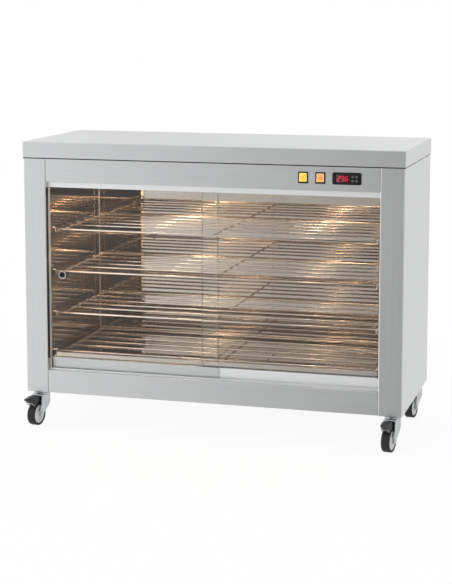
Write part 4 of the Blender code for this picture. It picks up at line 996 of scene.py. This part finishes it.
class CABINET_OT_controller(bpy.types.Operator):
    """Mould the controller's case, window and keys, and set its lit digits"""

    bl_idname = "cabinet.controller"
    bl_label = "Digital Controller"

    BEZEL = 3.5 * MM
    BEZEL_EDGE = 0.9 * MM
    STEP = 1.7 * MM
    CORNER = 4.2 * MM
    PLAY = 0.3 * MM
    CUT_AHEAD = 2.0 * MM
    CASE_EDGE = 0.25 * MM
    WINDOW_EDGE = 0.35 * MM
    KEYS = ("upper_left_key", "upper_right_key", "lower_left_key", "lower_right_key")
    KEY_TRAVEL = 0.5 * MM
    KEY_CORNER = 1.2 * MM
    KEY_RIM = 0.5 * MM
    KEY_EDGE = 0.3 * MM
    DIGITS = "296"
    POINT_AFTER = 1
    LIT = {"2": "abged", "9": "abcdfg", "6": "acdefg"}
    DIGIT_PITCH = 10.4 * MM
    DIGIT_WIDTH = 6.6 * MM
    DIGIT_HEIGHT = 12.0 * MM
    STROKE = 1.15 * MM
    SLANT = radians(8)
    SEGMENT_GAP = 0.35 * MM
    SEGMENT_PROUD = 0.05 * MM
    SEGMENT_DEPTH = 0.1 * MM
    POINT_HALF = 0.8 * MM
    POINT_CORNER = 0.6 * MM
    POINT_INSET = 0.6 * MM

    def execute(self, context):
        low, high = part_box("controller_body")
        outline = rounded_outline((low.x, low.z), (high.x, high.z), low.y, self.CORNER)
        case = slab(outline, (0, self.BEZEL, 0))
        soften(case, self.BEZEL_EDGE, 3, limit=40)
        body_low = low + Vector((self.STEP, self.BEZEL / 2, self.STEP))
        combine(case, box(body_low, high - Vector((self.STEP, 0, self.STEP))), "UNION")
        play = Vector((self.PLAY,) * 3)
        for node in ("controller_window",) + self.KEYS:
            travel = self.KEY_TRAVEL if node in self.KEYS else 0
            node_low, node_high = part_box(node)
            pocket_low = node_low - play - Vector((0, self.CUT_AHEAD, 0))
            pocket = box(pocket_low, node_high + play + Vector((0, travel, 0)))
            combine(case, pocket, "DIFFERENCE")
        soften(case, self.CASE_EDGE)
        seat(case, "controller_case", "cabinet", "black_plastic", "controller_body")
        window = box(*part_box("controller_window"))
        soften(window, self.WINDOW_EDGE, limit=35)
        seat(window, "controller_glazing", "cabinet", "window", "controller_window")
        for key in self.KEYS:
            cap = box(*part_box(key))
            choose("EDGE", runs_back)
            bpy.ops.mesh.bevel(offset=self.KEY_CORNER, segments=4, affect="EDGES")
            choose("FACE", looks_ahead)
            bpy.ops.mesh.inset(thickness=self.KEY_RIM)
            soften(cap, self.KEY_EDGE)
            seat(cap, key + "_cap", key + "_body", "key_plastic", key)
        self.set_digits()
        return {"FINISHED"}

    def set_digits(self):
        """Lay out three seven-segment digits on the window, the unlit segments too."""
        middle = middle_of("controller_window")
        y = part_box("controller_window")[0].y - self.SEGMENT_PROUD
        depth = (0, self.SEGMENT_DEPTH, 0)
        wide, tall = self.DIGIT_WIDTH / 2, self.DIGIT_HEIGHT / 4
        places = {
            "a": (0, 2 * tall, 0), "g": (0, 0, 0), "d": (0, -2 * tall, 0), "f": (-wide, tall, 1),
            "b": (wide, tall, 1), "e": (-wide, -tall, 1), "c": (wide, -tall, 1),
        }
        groups = {True: [], False: []}
        for index, digit in enumerate(self.DIGITS):
            centre = middle.x + (index - 1) * self.DIGIT_PITCH
            for segment, (across, up, upright) in places.items():
                outline = []
                for a, b in self.segment((tall if upright else wide) - self.SEGMENT_GAP):
                    x, z = (b, a) if upright else (a, b)
                    x, z = across + x, up + z
                    outline.append((centre + x + z * tan(self.SLANT), y, middle.z + z))
                groups[segment in self.LIT[digit]].append(slab(outline, depth))
            if index == self.POINT_AFTER:
                x = centre + self.DIGIT_PITCH / 2 - self.POINT_INSET
                z = middle.z - self.DIGIT_HEIGHT / 2
                half = self.POINT_HALF
                corners = (x - half, z - half), (x + half, z + half)
                point = rounded_outline(*corners, y, self.POINT_CORNER)
                groups[True].append(slab(point, depth))
        for lit, name, kind in ((True, "lit", "digit"), (False, "unlit", "dark_digit")):
            display = joined(groups[lit])
            seat(display, "display_%s_segments" % name, "cabinet", kind)

    def segment(self, half):
        """Outline of a segment with pointed ends, along its length and across it."""
        thin = self.STROKE / 2
        end = half - thin
        return ((-half, 0), (-end, thin), (end, thin), (half, 0), (end, -thin), (-end, -thin))


def at_castors(piece, corners, name, body, kind, node=None):
    """Copy a castor piece from the front left corner to the other corners and seat all. Without
    a body it rides on the cabinet."""
    first = middle_of("front_left_castor_head")
    copies = [piece]
    for corner in corners[1:]:
        copies.append(copied(piece, middle_of(corner + "_castor_head") - first))
    for corner, copy in zip(corners, copies):
        rides_on = corner + "_" + body if body else "cabinet"
        if node:
            seat(copy, corner + "_" + name, rides_on, kind, corner + "_" + node)
        else:
            seat(copy, corner + "_" + name, rides_on, kind)


def swivel_axis():
    """Where the front left castor swivels, in plan."""
    head = middle_of("front_left_castor_head")
    return Vector((head.x, head.y, 0))


def swing(piece, spot):
    """Turn a castor piece to its heading; without a window rotate turns the other way."""
    pick_up(piece)
    bpy.ops.transform.rotate(value=-HEADING, orient_axis="Z", center_override=spot)
    settle()


class CABINET_OT_castor_heads(bpy.types.Operator):
    """Turn the swivel heads: stem, washer, ball race and kingpin"""

    bl_idname = "cabinet.castor_heads"
    bl_label = "Castor Heads"

    PROFILE = (
        (0, 77.2), (4.4, 77.2), (6.0, 78.0), (6.0, 79.7), (4.0, 79.7), (4.0, 84.8),
        (18.5, 84.8), (20.6, 85.3), (21.8, 86.4), (22.0, 87.5), (21.3, 88.0), (21.3, 88.6),
        (22.0, 89.1), (21.8, 90.4), (20.6, 91.6), (19.0, 92.0), (14.0, 92.0), (14.0, 95.9),
        (13.4, 96.5), (5.7, 96.5), (5.7, 99.1), (10.0, 99.1), (10.0, 106.6), (9.5, 107.1),
        (5.7, 107.1), (5.7, 110.6), (5.2, 111.1), (0, 111.1),
    )

    def execute(self, context):
        head = turned(self.PROFILE, sizes().round_sides, swivel_axis())
        at_castors(head, CORNERS, "swivel_head", None, "zinc", "castor_head")
        return {"FINISHED"}


class CABINET_OT_castor_forks(bpy.types.Operator):
    """Press the castor forks from one outline, and turn their axle bolts"""

    bl_idname = "cabinet.castor_forks"
    bl_label = "Castor Forks"

    # Depths are from the swivel axis and heights from the floor, in mm
    TOP = 84.5
    BACK_EDGE = ((20.0, TOP), (20.0, 60.0), (18.6, 54.5))
    FRONT_EDGE = ((-25.0, 60.0), (-25.2, 66.0), (-24.0, 75.0), (-22.0, TOP))
    EYE = 8.5
    EYE_START = -20
    EYE_TURN = 170
    EYE_STEPS = 8
    LEG = 2.5
    GAP = 29.0
    GAP_LOW = (-70.0, -5.0)
    GAP_HIGH = (30.0, 80.0)
    TOP_BEND = 2.6 * MM
    SAME_HEIGHT = 0.01 * MM
    HOLE = 4.3 * MM
    HOLE_ENDS = (70.0, 95.0)
    EDGE = 0.5 * MM
    BOLT = (
        (0, -19.5), (5.4, -19.5), (6.3, -19.0), (6.5, -18.2), (6.5, -17.0), (4.0, -17.0),
        (4.0, 17.0), (6.5, 17.0), (6.5, 18.2), (6.3, 19.0), (5.4, 19.5), (0, 19.5),
    )
    BOLT_SIDES = 32

    def execute(self, context):
        spot = swivel_axis()
        fork = side_slab(spot, self.side(), self.GAP + 2 * self.LEG)
        top = self.TOP * MM
        choose("EDGE", lambda edge: runs_back(edge)
               and all(abs(vertex.co.z - top) < self.SAME_HEIGHT for vertex in edge.verts))
        bpy.ops.mesh.bevel(offset=self.TOP_BEND, segments=4, affect="EDGES")
        gap_low = offset(spot, -self.GAP / 2, *self.GAP_LOW)
        combine(fork, box(gap_low, offset(spot, self.GAP / 2, *self.GAP_HIGH)), "DIFFERENCE")
        foot, head = [offset(spot, 0, 0, height) for height in self.HOLE_ENDS]
        combine(fork, straight_wire(foot, head, self.HOLE, self.BOLT_SIDES), "DIFFERENCE")
        soften(fork, self.EDGE)
        bolt = turned(self.BOLT, self.BOLT_SIDES, offset(spot, 0, AXLE_Y, AXLE_Z), "X")
        for piece, name, node in ((fork, "fork_pressing", "castor_fork"), (bolt, "axle_bolt", None)):
            swing(piece, spot)
            at_castors(piece, CORNERS, name, "fork", "zinc", node)
        return {"FINISHED"}

    def side(self):
        """Side outline of the fork: down its back edge, round the axle and up its front edge."""
        eye = []
        for step in range(self.EYE_STEPS + 1):
            angle = radians(self.EYE_START - step * self.EYE_TURN / self.EYE_STEPS)
            eye.append((AXLE_Y + self.EYE * cos(angle), AXLE_Z + self.EYE * sin(angle)))
        return [*self.BACK_EDGE, *eye, *self.FRONT_EDGE]


class CABINET_OT_castor_wheels(bpy.types.Operator):
    """Turn the grey wheel centres and the rubber tyres"""

    bl_idname = "cabinet.castor_wheels"
    bl_label = "Castor Wheels"

    HUB = (
        (4.3, 13.0), (7.6, 13.0), (8.6, 12.6), (9.0, 11.6), (9.2, 10.2), (10.5, 9.0),
        (17.5, 8.4), (19.5, 8.9), (20.8, 9.7), (22.0, 10.0), (24.2, 10.0), (25.0, 9.2),
    )
    TYRE = (
        (25.3, 10.3), (26.3, 11.3), (27.6, 11.9), (28.8, 11.9), (30.0, 11.3), (30.7, 10.2),
        (31.0, 8.6),
    )

    def execute(self, context):
        spot = swivel_axis()
        axle = offset(spot, 0, AXLE_Y, AXLE_Z)
        for half, name, kind, node in (
            (self.HUB, "wheel_centre", "hub_plastic", "wheel_hub"),
            (self.TYRE, "tyre_ring", "rubber", "tyre"),
        ):
            other = [(radius, -height) for radius, height in reversed(half)]
            piece = turned([*half, *other], sizes().round_sides, axle, "X", ring=True)
            swing(piece, spot)
            at_castors(piece, CORNERS, name, "wheel", kind, node)
        return {"FINISHED"}


class CABINET_OT_brake_pedals(bpy.types.Operator):
    """Press the two toe pedals, each with its pin, a slotted brake leaf and a spring block"""

    bl_idname = "cabinet.brake_pedals"
    bl_label = "Brake Pedals"

    # Depths are from the swivel axis and heights from the floor, in mm
    SIDE = (
        (-9.2, 76.4), (-22.5, 76.4), (-24.0, 77.6), (-25.2, 82.4), (-26.4, 83.6), (-51.6, 84.5),
        (-84.6, 84.2), (-86.0, 83.2), (-85.6, 81.8), (-70.0, 73.3), (-56.0, 62.0), (-51.0, 58.8),
        (-47.0, 59.2), (-40.0, 62.9), (-27.0, 67.4), (-9.2, 69.0),
    )
    WIDTH = 22.0
    PLAN = ((11.0, 0), (-11.0, 0), (-11.0, -47.3), (-4.0, -86.5), (4.0, -86.5), (11.0, -47.3))
    PLAN_HEIGHT = 50.0
    PEDAL_EDGE = 0.8 * MM
    PIVOT = (-14.0, 72.0)
    PIN_HALF = 14.2
    PIN = 2.5 * MM
    PIN_SIDES = 20
    LEAF = ((-66.5, 69.4), (-56.9, 61.7), (-51.6, 58.2), (-50.8, 59.2), (-56.2, 62.8), (-65.8, 70.5))
    LEAF_WIDTH = 20.0
    SLOT = ((-62.6, 64.4), (-59.8, 62.1), (-57.4, 65.6), (-60.2, 67.9))
    SLOT_WIDTH = 13.0
    SPRING = ((-7.6, 56.4), (10.0, 51.1), (10.0, 79.4), (-7.6, 79.4))
    SPRING_WIDTH = 25.2
    SPRING_EDGE = 2.0 * MM

    def execute(self, context):
        spot = swivel_axis()
        pedal = side_slab(spot, self.SIDE, self.WIDTH)
        plan = [offset(spot, x, y, self.PLAN_HEIGHT) for x, y in self.PLAN]
        combine(pedal, slab(plan, (0, 0, self.PLAN_HEIGHT * MM)), "INTERSECT")
        soften(pedal, self.PEDAL_EDGE, limit=25)
        left, right = [offset(spot, x, *self.PIVOT) for x in (-self.PIN_HALF, self.PIN_HALF)]
        combine(pedal, straight_wire(left, right, self.PIN, self.PIN_SIDES), "UNION")
        leaf = side_slab(spot, self.LEAF, self.LEAF_WIDTH)
        combine(leaf, side_slab(spot, self.SLOT, self.SLOT_WIDTH), "DIFFERENCE")
        spring = side_slab(spot, self.SPRING, self.SPRING_WIDTH)
        soften(spring, self.SPRING_EDGE, 3)
        for piece, name, body, kind, node in (
            (pedal, "pedal_pressing", "pedal", "dark_steel", "brake_pedal"),
            (leaf, "brake_leaf", "pedal", "zinc", "brake_pedal"),
            (spring, "brake_spring_block", "fork", "black_plastic", None),
        ):
            swing(piece, spot)
            at_castors(piece, CORNERS[:2], name, body, kind, node)
        return {"FINISHED"}


class CABINET_OT_lamps(bpy.types.Operator):
    """Turn the lamp holders and their dishes, and blow the bulbs that light the chamber"""

    bl_idname = "cabinet.lamps"
    bl_label = "Lamps"

    HOLDER = (
        (0, 0), (23.6, 0), (24.6, -0.6), (25.0, -1.6), (24.6, -3.2), (23.4, -4.0), (18.6, -4.2),
        (18.0, -5.0), (17.4, -16.0), (16.8, -20.6), (15.6, -22.0), (9.2, -22.0), (8.2, -21.2),
        (8.0, -20.0), (8.0, -8.0), (0, -8.0),
    )
    DISH = (
        (26.0, -1.2), (45.0, -2.4), (60.0, -6.8), (69.6, -13.8), (71.2, -14.4), (72.0, -13.6),
        (70.6, -12.8), (61.0, -5.8), (45.4, -1.4), (26.0, -0.3),
    )
    DISH_SIDES = 64
    GLOBE = 19.0
    GLOBE_STEPS = 11
    GLOBE_STEP = pi / 15.5
    NECK = (7.0, 40.0)
    END = 6.9

    def execute(self, context):
        sides = sizes().round_sides
        for side in ("left", "right"):
            node = side + "_lamp_holder"
            top = middle_of(node)
            top.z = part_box(node)[1].z
            dish = turned(self.DISH, self.DISH_SIDES, top, ring=True)
            seat(dish, side + "_lamp_reflector", "cabinet", "enamel")
            holder = turned(self.HOLDER, sides, top)
            seat(holder, side + "_lamp_socket", "cabinet", "porcelain", node)
            low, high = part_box(side + "_lamp_bulb")
            radius = (high.x - low.x) / 2 / MM
            tall = (high.z - low.z) / MM
            profile = [(0, 0)]
            for step in range(1, self.GLOBE_STEPS + 1):
                angle = step * self.GLOBE_STEP - pi / 2
                profile.append((radius * cos(angle), self.GLOBE * (1 + sin(angle))))
            profile += [self.NECK, (self.END, tall), (0, tall)]
            bulb = turned(profile, sides, ((low.x + high.x) / 2, (low.y + high.y) / 2, low.z))
            seat(bulb, side + "_bulb_envelope", "cabinet", "bulb", side + "_lamp_bulb")
        return {"FINISHED"}


class CABINET_OT_small_fittings(bpy.types.Operator):
    """Turn the cable gland and the probe, and set the rear panel's screws"""

    bl_idname = "cabinet.small_fittings"
    bl_label = "Small Fittings"

    GLAND_SIDES = 36
    NUT = 11.9 * MM
    NUT_DEPTH = 6.0 * MM
    NUT_MIDDLE = 3.3
    NUT_EDGE = 0.7 * MM
    PROBE = 3.0
    PROBE_NUT = ((0, 0), (6.4, 0), (6.4, -5.6), (5.8, -6.2), (3.2, -6.2), (PROBE, -6.8))
    SCREW_ROWS = 3
    SCREW_COLUMNS = 4
    SCREW_INSET = 13.0 * MM
    SCREW_TOP_INSET = 55.0 * MM
    SCREW_GAP = 0.1
    SCREW_RIM = 0.7
    SCREW_RISE = 1.9
    SLOT_FLOOR = 1.1
    SLOT_TOP = 3.0
    SLOT_HALF = 0.45
    SMALL_SIDES = 24

    def execute(self, context):
        self.gland()
        self.probe()
        self.screws()
        return {"FINISHED"}

    def gland(self):
        """Hexagonal nut, ribbed dome and seal of the cable gland."""
        low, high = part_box("cable_gland")
        place = (low + high) / 2
        place.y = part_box("rear_panel")[1].y
        end = (high.y - place.y) / MM
        inside = (low.y - place.y) / MM
        profile = [
            (0, inside), (11.5, inside), (11.5, -1.8), (8.0, -1.8), (8.0, 0.3), (10.2, 0.3),
            (10.2, 6.3), (10.0, 6.6), (10.0, end - 4.2), (9.0, end - 1.6), (7.4, end - 0.2),
            (6.4, end), (5.3, end - 0.3), (5.0, end - 1.0), (5.0, end - 3.0), (0, end - 3.0),
        ]
        body = turned(profile, self.GLAND_SIDES, place, "Y")
        put_down()
        bpy.ops.mesh.primitive_cylinder_add(
            vertices=6, radius=self.NUT, depth=self.NUT_DEPTH, rotation=(pi / 2, 0, 0),
            location=offset(place, 0, self.NUT_MIDDLE, 0),
        )
        settle()
        nut = bpy.context.object
        soften(nut, self.NUT_EDGE, limit=40)
        combine(body, nut, "UNION")
        seat(body, "gland_body", "cabinet", "black_plastic", "cable_gland")

    def probe(self):
        """Slim steel probe with a round end and its nut."""
        low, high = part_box("temperature_probe")
        place = (low + high) / 2
        place.x = high.x
        length = (high.x - low.x) / MM
        profile = list(self.PROBE_NUT)
        for step in range(4):
            angle = step * pi / 8
            profile.append((self.PROBE * cos(angle), self.PROBE * (1 - sin(angle)) - length))
        profile.append((0, -length))
        body = turned(profile, self.SMALL_SIDES, place, "X")
        seat(body, "probe_tube", "cabinet", "zinc", "temperature_probe")

    def screws(self):
        """Pan-head screws with a slot, round the rear panel's rim."""
        low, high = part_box("rear_panel")
        first = Vector((low.x + self.SCREW_INSET, high.y, low.z + self.SCREW_INSET))
        width = high.x - self.SCREW_INSET - first.x
        height = high.z - self.SCREW_TOP_INSET - first.z
        radius = sizes().screw_head / MM
        dome = self.SCREW_RISE - self.SCREW_RIM
        profile = [(0, self.SCREW_GAP), (radius, self.SCREW_GAP), (radius, self.SCREW_RIM)]
        for step in range(1, 4):
            angle = step * pi / 8
            profile.append((radius * cos(angle), self.SCREW_RIM + dome * sin(angle)))
        profile.append((0, self.SCREW_RISE))
        screw = turned(profile, self.SMALL_SIDES, first, "Y")
        slot_low = offset(first, -radius, self.SLOT_FLOOR, -self.SLOT_HALF)
        slot_high = offset(first, radius, self.SLOT_TOP, self.SLOT_HALF)
        combine(screw, box(slot_low, slot_high), "DIFFERENCE")
        heads = [screw]
        last_column, last_row = self.SCREW_COLUMNS - 1, self.SCREW_ROWS - 1
        for column in range(self.SCREW_COLUMNS):
            for row in range(self.SCREW_ROWS):
                inner = 0 < column < last_column and 0 < row < last_row
                if not inner and (column or row):
                    shift = (width * column / last_column, 0, height * row / last_row)
                    heads.append(copied(screw, shift))
        seat(joined(heads), "rear_panel_screws", "cabinet", "zinc")


class CABINET_OT_studio(bpy.types.Operator):
    """Lay the pale floor, light the studio and place the camera"""

    bl_idname = "cabinet.studio"
    bl_label = "Studio"

    FLOOR_SIZE = 24.0
    SOFTBOX_PLACE = (0.0, -0.6, 3.4)
    SOFTBOX_SIZE = (3.0, 2.4)
    SOFTBOX_WATTS = 6.0
    # Name, axis, where it starts and ends, level before and after, and how it changes
    RAMPS = (
        ("across", "X", (-0.58, 0.03), (1.41, 0.06), "LINEAR"),
        ("left", "X", (-0.45, -0.1), (0.74, 1.03), "LINEAR"),
        ("right", "X", (-0.05, 0.25), (1.03, 0.88), "LINEAR"),
        ("far_right", "X", (-0.05, 0.45), (0.06, 0.85), "LINEAR"),
        ("behind", "Y", (-0.35, 0.15), (0.0, 1.0), "SMOOTHSTEP"),
        ("above", "Z", (0.35, 0.75), (0.0, 1.0), "SMOOTHSTEP"),
    )
    # Name, and the two levels that it takes and how
    STEPS = (
        ("backdrop", "left", "MINIMUM", "right"),
        ("bright", "behind", "MAXIMUM", "above"),
        ("white", "backdrop", "MULTIPLY", "bright"),
        ("front", "across", "MAXIMUM", "white"),
        ("open_right", "far_right", "MULTIPLY", "unpassed"),
        ("level", "front", "MAXIMUM", "open_right"),
        ("shown", "level", "MAXIMUM", "seen"),
    )

    def execute(self, context):
        self.floor()
        self.world(context)
        self.softbox()
        self.camera(context)
        return {"FINISHED"}

    def floor(self):
        """Pale floor that keeps the object's shadow and fades to white away from it. Mirrors and
        panes look through it to the world, which stands for a floor without end."""
        put_down()
        bpy.ops.mesh.primitive_plane_add(size=self.FLOOR_SIZE, location=(0, 0, 0))
        floor = bpy.context.object
        floor.name = "studio_floor"
        material, tree, shader = new_material(
            "painted_studio_floor", Base_Color=(*colours().floor, 1.0), Roughness=0.9,
            Specular_IOR_Level=0.0,
        )
        place = add_node(tree, "ShaderNodeTexCoord").outputs["Object"]
        path = add_node(tree, "ShaderNodeLightPath")
        away = add_node(tree, "ShaderNodeVectorMath", {0: place}, operation="LENGTH")
        sockets = {"Value": away.outputs["Value"], "From Min": 0.5, "From Max": 1.6, "To Min": 0.9}
        fade = add_node(tree, "ShaderNodeMapRange", sockets)
        sockets = {0: path.outputs["Is Camera Ray"], 1: fade.outputs["Result"]}
        seen = add_node(tree, "ShaderNodeMath", sockets, operation="MULTIPLY")
        white = add_node(tree, "ShaderNodeEmission", {"Color": (1, 1, 1, 1), "Strength": 1.0})
        sockets = {0: seen.outputs[0], 1: shader.outputs[0], 2: white.outputs[0]}
        faded = add_node(tree, "ShaderNodeMixShader", sockets)
        sockets = {0: path.outputs["Is Glossy Ray"], 1: path.outputs["Is Transmission Ray"]}
        mirrored_ray = add_node(tree, "ShaderNodeMath", sockets, operation="MAXIMUM")
        clear = add_node(tree, "ShaderNodeBsdfTransparent")
        sockets = {0: mirrored_ray.outputs[0], 1: faded.outputs[0], 2: clear.outputs[0]}
        surface = add_node(tree, "ShaderNodeMixShader", sockets)
        tree.links.new(surface.outputs[0], tree.nodes["Material Output"].inputs["Surface"])
        floor.data.materials.append(material)

    def world(self, context):
        """White studio behind and above, and grey in front of the object; the grey turns dark to
        the right for what stands behind the panes."""
        world = context.scene.world or bpy.data.worlds.new("studio")
        context.scene.world = world
        world.use_nodes = True
        tree = world.node_tree
        tree.nodes.clear()
        place = add_node(tree, "ShaderNodeTexCoord")
        parts = add_node(tree, "ShaderNodeSeparateXYZ", {0: place.outputs["Generated"]})
        path = add_node(tree, "ShaderNodeLightPath")
        depth = path.outputs["Transmission Depth"]
        unpassed = add_node(tree, "ShaderNodeMapRange", {"Value": depth, "To Min": 1.0, "To Max": 0.0})
        levels = {"seen": path.outputs["Is Camera Ray"], "unpassed": unpassed.outputs["Result"]}
        for name, axis, (start, end), (before, after), change in self.RAMPS:
            sockets = {"Value": parts.outputs[axis], "From Min": start, "From Max": end}
            sockets.update({"To Min": before, "To Max": after})
            ramp = add_node(tree, "ShaderNodeMapRange", sockets, interpolation_type=change)
            levels[name] = ramp.outputs["Result"]
        for name, one, operation, other in self.STEPS:
            sockets = {0: levels[one], 1: levels[other]}
            step = add_node(tree, "ShaderNodeMath", sockets, operation=operation)
            levels[name] = step.outputs[0]
        sockets = {"Color": (1, 1, 1, 1), "Strength": levels["shown"]}
        sky = add_node(tree, "ShaderNodeBackground", sockets)
        add_node(tree, "ShaderNodeOutputWorld", {"Surface": sky.outputs[0]})

    def softbox(self):
        """Soft box overhead that gives the round parts their shape."""
        put_down()
        bpy.ops.object.light_add(type="AREA", location=self.SOFTBOX_PLACE)
        lamp = bpy.context.object
        lamp.name = "overhead_softbox"
        lamp.data.shape = "RECTANGLE"
        lamp.data.size, lamp.data.size_y = self.SOFTBOX_SIZE
        lamp.data.energy = self.SOFTBOX_WATTS

    def camera(self, context):
        """The photograph's camera."""
        put_down()
        rotation = (pi / 2 - CAMERA_PITCH, 0, CAMERA_TURN)
        bpy.ops.object.camera_add(location=CAMERA_PLACE, rotation=rotation)
        camera = bpy.context.object
        camera.name = "photograph_camera"
        camera.data.sensor_width = SENSOR
        camera.data.lens = FOCAL_PIXELS / PHOTO_HEIGHT * SENSOR
        camera.data.shift_y = (OPTICAL_CENTRE - PHOTO_HEIGHT / 2) / PHOTO_HEIGHT
        camera.data.dof.use_dof = False
        context.scene.camera = camera
        context.scene.view_settings.view_transform = "Standard"


OPERATORS = (
    CABINET_OT_sheet_finishes,
    CABINET_OT_wire_shelves,
    CABINET_OT_shelf_racks,
    CABINET_OT_shadow_strips,
    CABINET_OT_glass_doors,
    CABINET_OT_finger_pull,
    CABINET_OT_rocker_switches,
    CABINET_OT_controller,
    CABINET_OT_castor_heads,
    CABINET_OT_castor_forks,
    CABINET_OT_castor_wheels,
    CABINET_OT_brake_pedals,
    CABINET_OT_lamps,
    CABINET_OT_small_fittings,
    CABINET_OT_studio,
)


class CABINET_PT_builder(bpy.types.Panel):
    """Lists the cabinet's operators and settings"""

    bl_label = "Heated Display Cabinet"
    bl_idname = "CABINET_PT_builder"
    bl_space_type = "VIEW_3D"
    bl_region_type = "UI"
    bl_category = "Cabinet"

    def draw(self, context):
        layout = self.layout
        for settings in (context.scene.cabinet_sizes, context.scene.cabinet_colours):
            for name in settings.__annotations__:
                layout.prop(settings, name)
        for operator in OPERATORS:
            layout.operator(operator.bl_idname)


CLASSES = (CabinetSizes, CabinetColours) + OPERATORS + (CABINET_PT_builder,)


def register():
    """Register every class and attach the settings to the scene."""
    for kind in CLASSES:
        bpy.utils.register_class(kind)
    bpy.types.Scene.cabinet_sizes = PointerProperty(type=CabinetSizes)
    bpy.types.Scene.cabinet_colours = PointerProperty(type=CabinetColours)


def unregister():
    """Take the settings and classes away again."""
    del bpy.types.Scene.cabinet_sizes
    del bpy.types.Scene.cabinet_colours
    for kind in reversed(CLASSES):
        bpy.utils.unregister_class(kind)


def main():
    """Build everything in order."""
    register()
    for operator in OPERATORS:
        category, name = operator.bl_idname.split(".")
        getattr(getattr(bpy.ops, category), name)()


if __name__ == "__main__":
    main()
